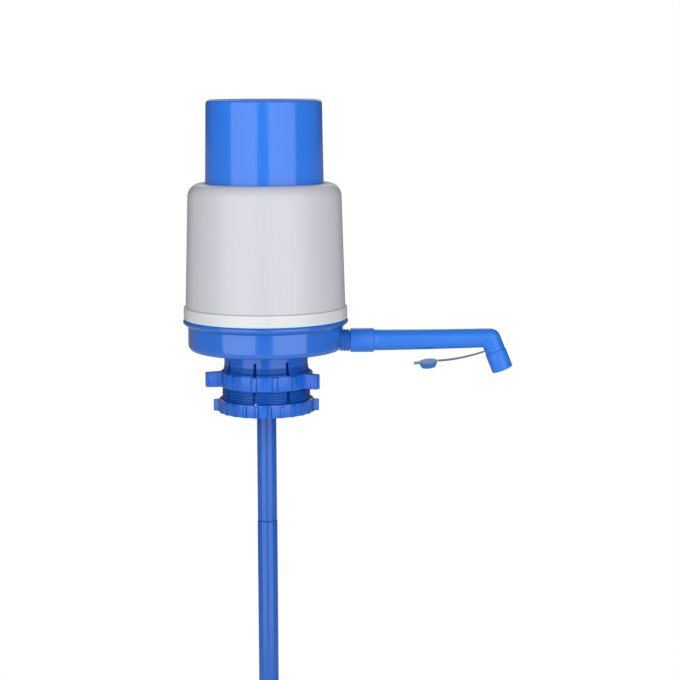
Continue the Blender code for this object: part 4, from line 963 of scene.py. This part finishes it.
def makeBellows(b):
    low, high = b["footZ"] + b["beadHeight"] + b["cuff"], b["topZ"] - b["roof"] - b["cuff"]
    count = b["folds"] * b["perFold"]
    middle, swing = (b["peak"] + b["valley"]) / 2, (b["peak"] - b["valley"]) / 2
    wave = []
    for i in range(count + 1):
        x = math.cos(math.tau * i / b["perFold"])
        radius = middle - swing * math.copysign(abs(x) ** b["foldShape"], x)
        wave.append((radius, low + (high - low) * i / count))
    beadTopZ, beadEdge = b["footZ"] + b["beadHeight"], b["bead"] - b["beadEdge"]
    sleeve = b["valley"] - b["wall"]
    profile = [
        (0.0, b["topZ"]), (b["peak"] - b["peakEdge"], b["topZ"]), (b["peak"], b["topZ"] - b["peakEdge"]),
        (b["peak"], high + b["cuff"] / 2), *reversed(wave), (b["valley"], beadTopZ), (beadEdge, beadTopZ),
        (b["bead"], b["footZ"] + b["beadHeight"] / 2), (beadEdge, b["footZ"]), (sleeve, b["footZ"]),
        *[(r - b["wall"], z) for r, z in wave], (sleeve, b["topZ"] - b["roof"]), (0.0, b["topZ"] - b["roof"]),
    ]
    bellows = looseObject("bellowsFolds", turnedShape(profile, b["steps"], False))
    dressed(bellows, "pump_base", "bellows", "bellowsWhite", crease=b["crease"])
    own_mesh(bellows)


makeBellows(bellowsFolds)
print("bellows done")


# Inner pieces keep the frame's shapes: merged copies with soft edges and smooth walls
innerForm = {"flatWithin": math.radians(0.5), "edge": 0.12 * mm, "crease": 35}
innerPieces = {
    "valve_plate": ("valvePlateDisc", "pump_base", "bandWhite", "band_white"),
    "bellows_clamp_ring": ("bellowsClampRing", "pump_base", "bandWhite", "band_white"),
    "intake_valve": ("intakeValveDisc", "intake", "valveRubber", "valve_rubber"),
    "delivery_valve": ("deliveryValveDisc", "delivery", "valveRubber", "valve_rubber"),
    "neck_gasket": ("neckGasketRing", "pump_base", "gasketRubber", "gasket_rubber"),
    "spout_o_ring": ("spoutSealRing", "pump_base", "sealRubber", "seal_rubber"),
}


def makeInnerPieces(table, f):
    for node, (name, body, finish, slotName) in table.items():
        bm = bmesh.new()
        bm.from_mesh(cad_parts[node].data)
        bmesh.ops.remove_doubles(bm, verts=bm.verts[:], dist=weldDistance)
        bmesh.ops.dissolve_limit(bm, angle_limit=f["flatWithin"], verts=bm.verts[:], edges=bm.edges[:])
        bmesh.ops.recalc_face_normals(bm, faces=bm.faces[:])
        dressed(looseObject(name, bm), body, node, finish, crease=f["crease"], bevel=f["edge"])


makeInnerPieces(innerPieces, innerForm)
print("inner pieces done")


# Floor and light: pale and plain, with two tall soft lights either side of the camera and one behind
studio = {
    "floorZ": -0.4415, "floorRadius": 30.0, "floorSteps": 96, "floorColour": (0.82, 0.82, 0.83),
    "floorShade": (0.79, 0.79, 0.8), "floorRoughness": 0.7, "grain": {"Scale": 9.0}, "plainFrom": 0.3,
    "plainTo": 0.5, "fill": 0.3, "gloss": 0.08, "white": 1.0, "lightAim": (0, 0, 0.08),
}


def makeFloor(s):
    bm = bmesh.new()
    bmesh.ops.create_circle(bm, cap_ends=True, radius=s["floorRadius"], segments=s["floorSteps"],
                            matrix=Matrix.Translation((0, 0, s["floorZ"])))
    floor = looseObject("studioFloor", bm)
    material = bpy.data.materials.new("paleFloor")
    material.use_nodes = True
    tree = material.node_tree
    shader = tree.nodes["Principled BSDF"]
    place = objectPlace(tree)
    tint = mixed(tree, noise(tree, place, s["grain"]), (*s["floorColour"], 1), (*s["floorShade"], 1))
    fillSockets(tree, shader, {"Roughness": s["floorRoughness"], "Base Color": tint})
    level = addNode(tree, "VectorMath", {0: place, 1: (1.0, 1.0, 0.0)}, operation="MULTIPLY")
    away = addNode(tree, "VectorMath", {0: level.outputs["Vector"]}, operation="LENGTH").outputs["Value"]
    plain = ranged(tree, away, s["plainFrom"], s["plainTo"], interpolation_type="SMOOTHSTEP")
    seen = worked(tree, "MULTIPLY", plain, addNode(tree, "LightPath").outputs["Is Camera Ray"])
    white = addNode(tree, "Emission").outputs["Emission"]  # plain white away from the pump's axis
    blend = addNode(tree, "MixShader", {"Fac": seen, 1: shader.outputs["BSDF"], 2: white})
    fillSockets(tree, tree.nodes["Material Output"], {"Surface": blend.outputs["Shader"]})
    floor.data.materials.append(material)


def makeRoom(s):  # dim in reflections, as between black flags, and white where the camera sees it
    world = bpy.data.worlds.new("paleRoom")
    world.use_nodes = True
    tree = world.node_tree
    path = addNode(tree, "LightPath").outputs
    dim = addNode(tree, "MapRange", {"Value": path["Is Glossy Ray"], "To Min": s["fill"],
                                     "To Max": s["gloss"]})
    level = addNode(tree, "MapRange", {"Value": path["Is Camera Ray"], "To Min": dim.outputs["Result"],
                                       "To Max": s["white"]})
    fillSockets(tree, tree.nodes["Background"], {"Color": (1.0, 1.0, 1.0, 1),
                                                 "Strength": level.outputs["Result"]})
    scene.world = world


softLights = [
    {"name": "leftSoftbox", "azimuth": -37.5, "away": 1.1, "height": 0.3, "size": (1.15, 1.7), "power": 9.8},
    {"name": "rightSoftbox", "azimuth": 37.5, "away": 1.1, "height": 0.3, "size": (1.15, 1.7), "power": 9.8},
    {"name": "backSoftbox", "azimuth": 180.0, "away": 1.6, "height": 0.9, "size": (1.2, 1.0), "power": 4.3},
]


def makeLights(lights, aim):
    for l in lights:
        data = bpy.data.lights.new(l["name"], "AREA")
        data.shape = "RECTANGLE"
        data.size, data.size_y = l["size"]
        data.energy = l["power"]
        lamp = bpy.data.objects.new(l["name"], data)
        a = math.radians(l["azimuth"])
        spot = Vector((math.sin(a) * l["away"], -math.cos(a) * l["away"], l["height"]))
        lamp.location = spot
        lamp.rotation_euler = (Vector(aim) - spot).to_track_quat("-Z", "Y").to_euler()
        scene.collection.objects.link(lamp)


makeFloor(studio)
makeRoom(studio)
makeLights(softLights, studio["lightAim"])
scene.view_settings.view_transform = "Standard"
print("studio lit")
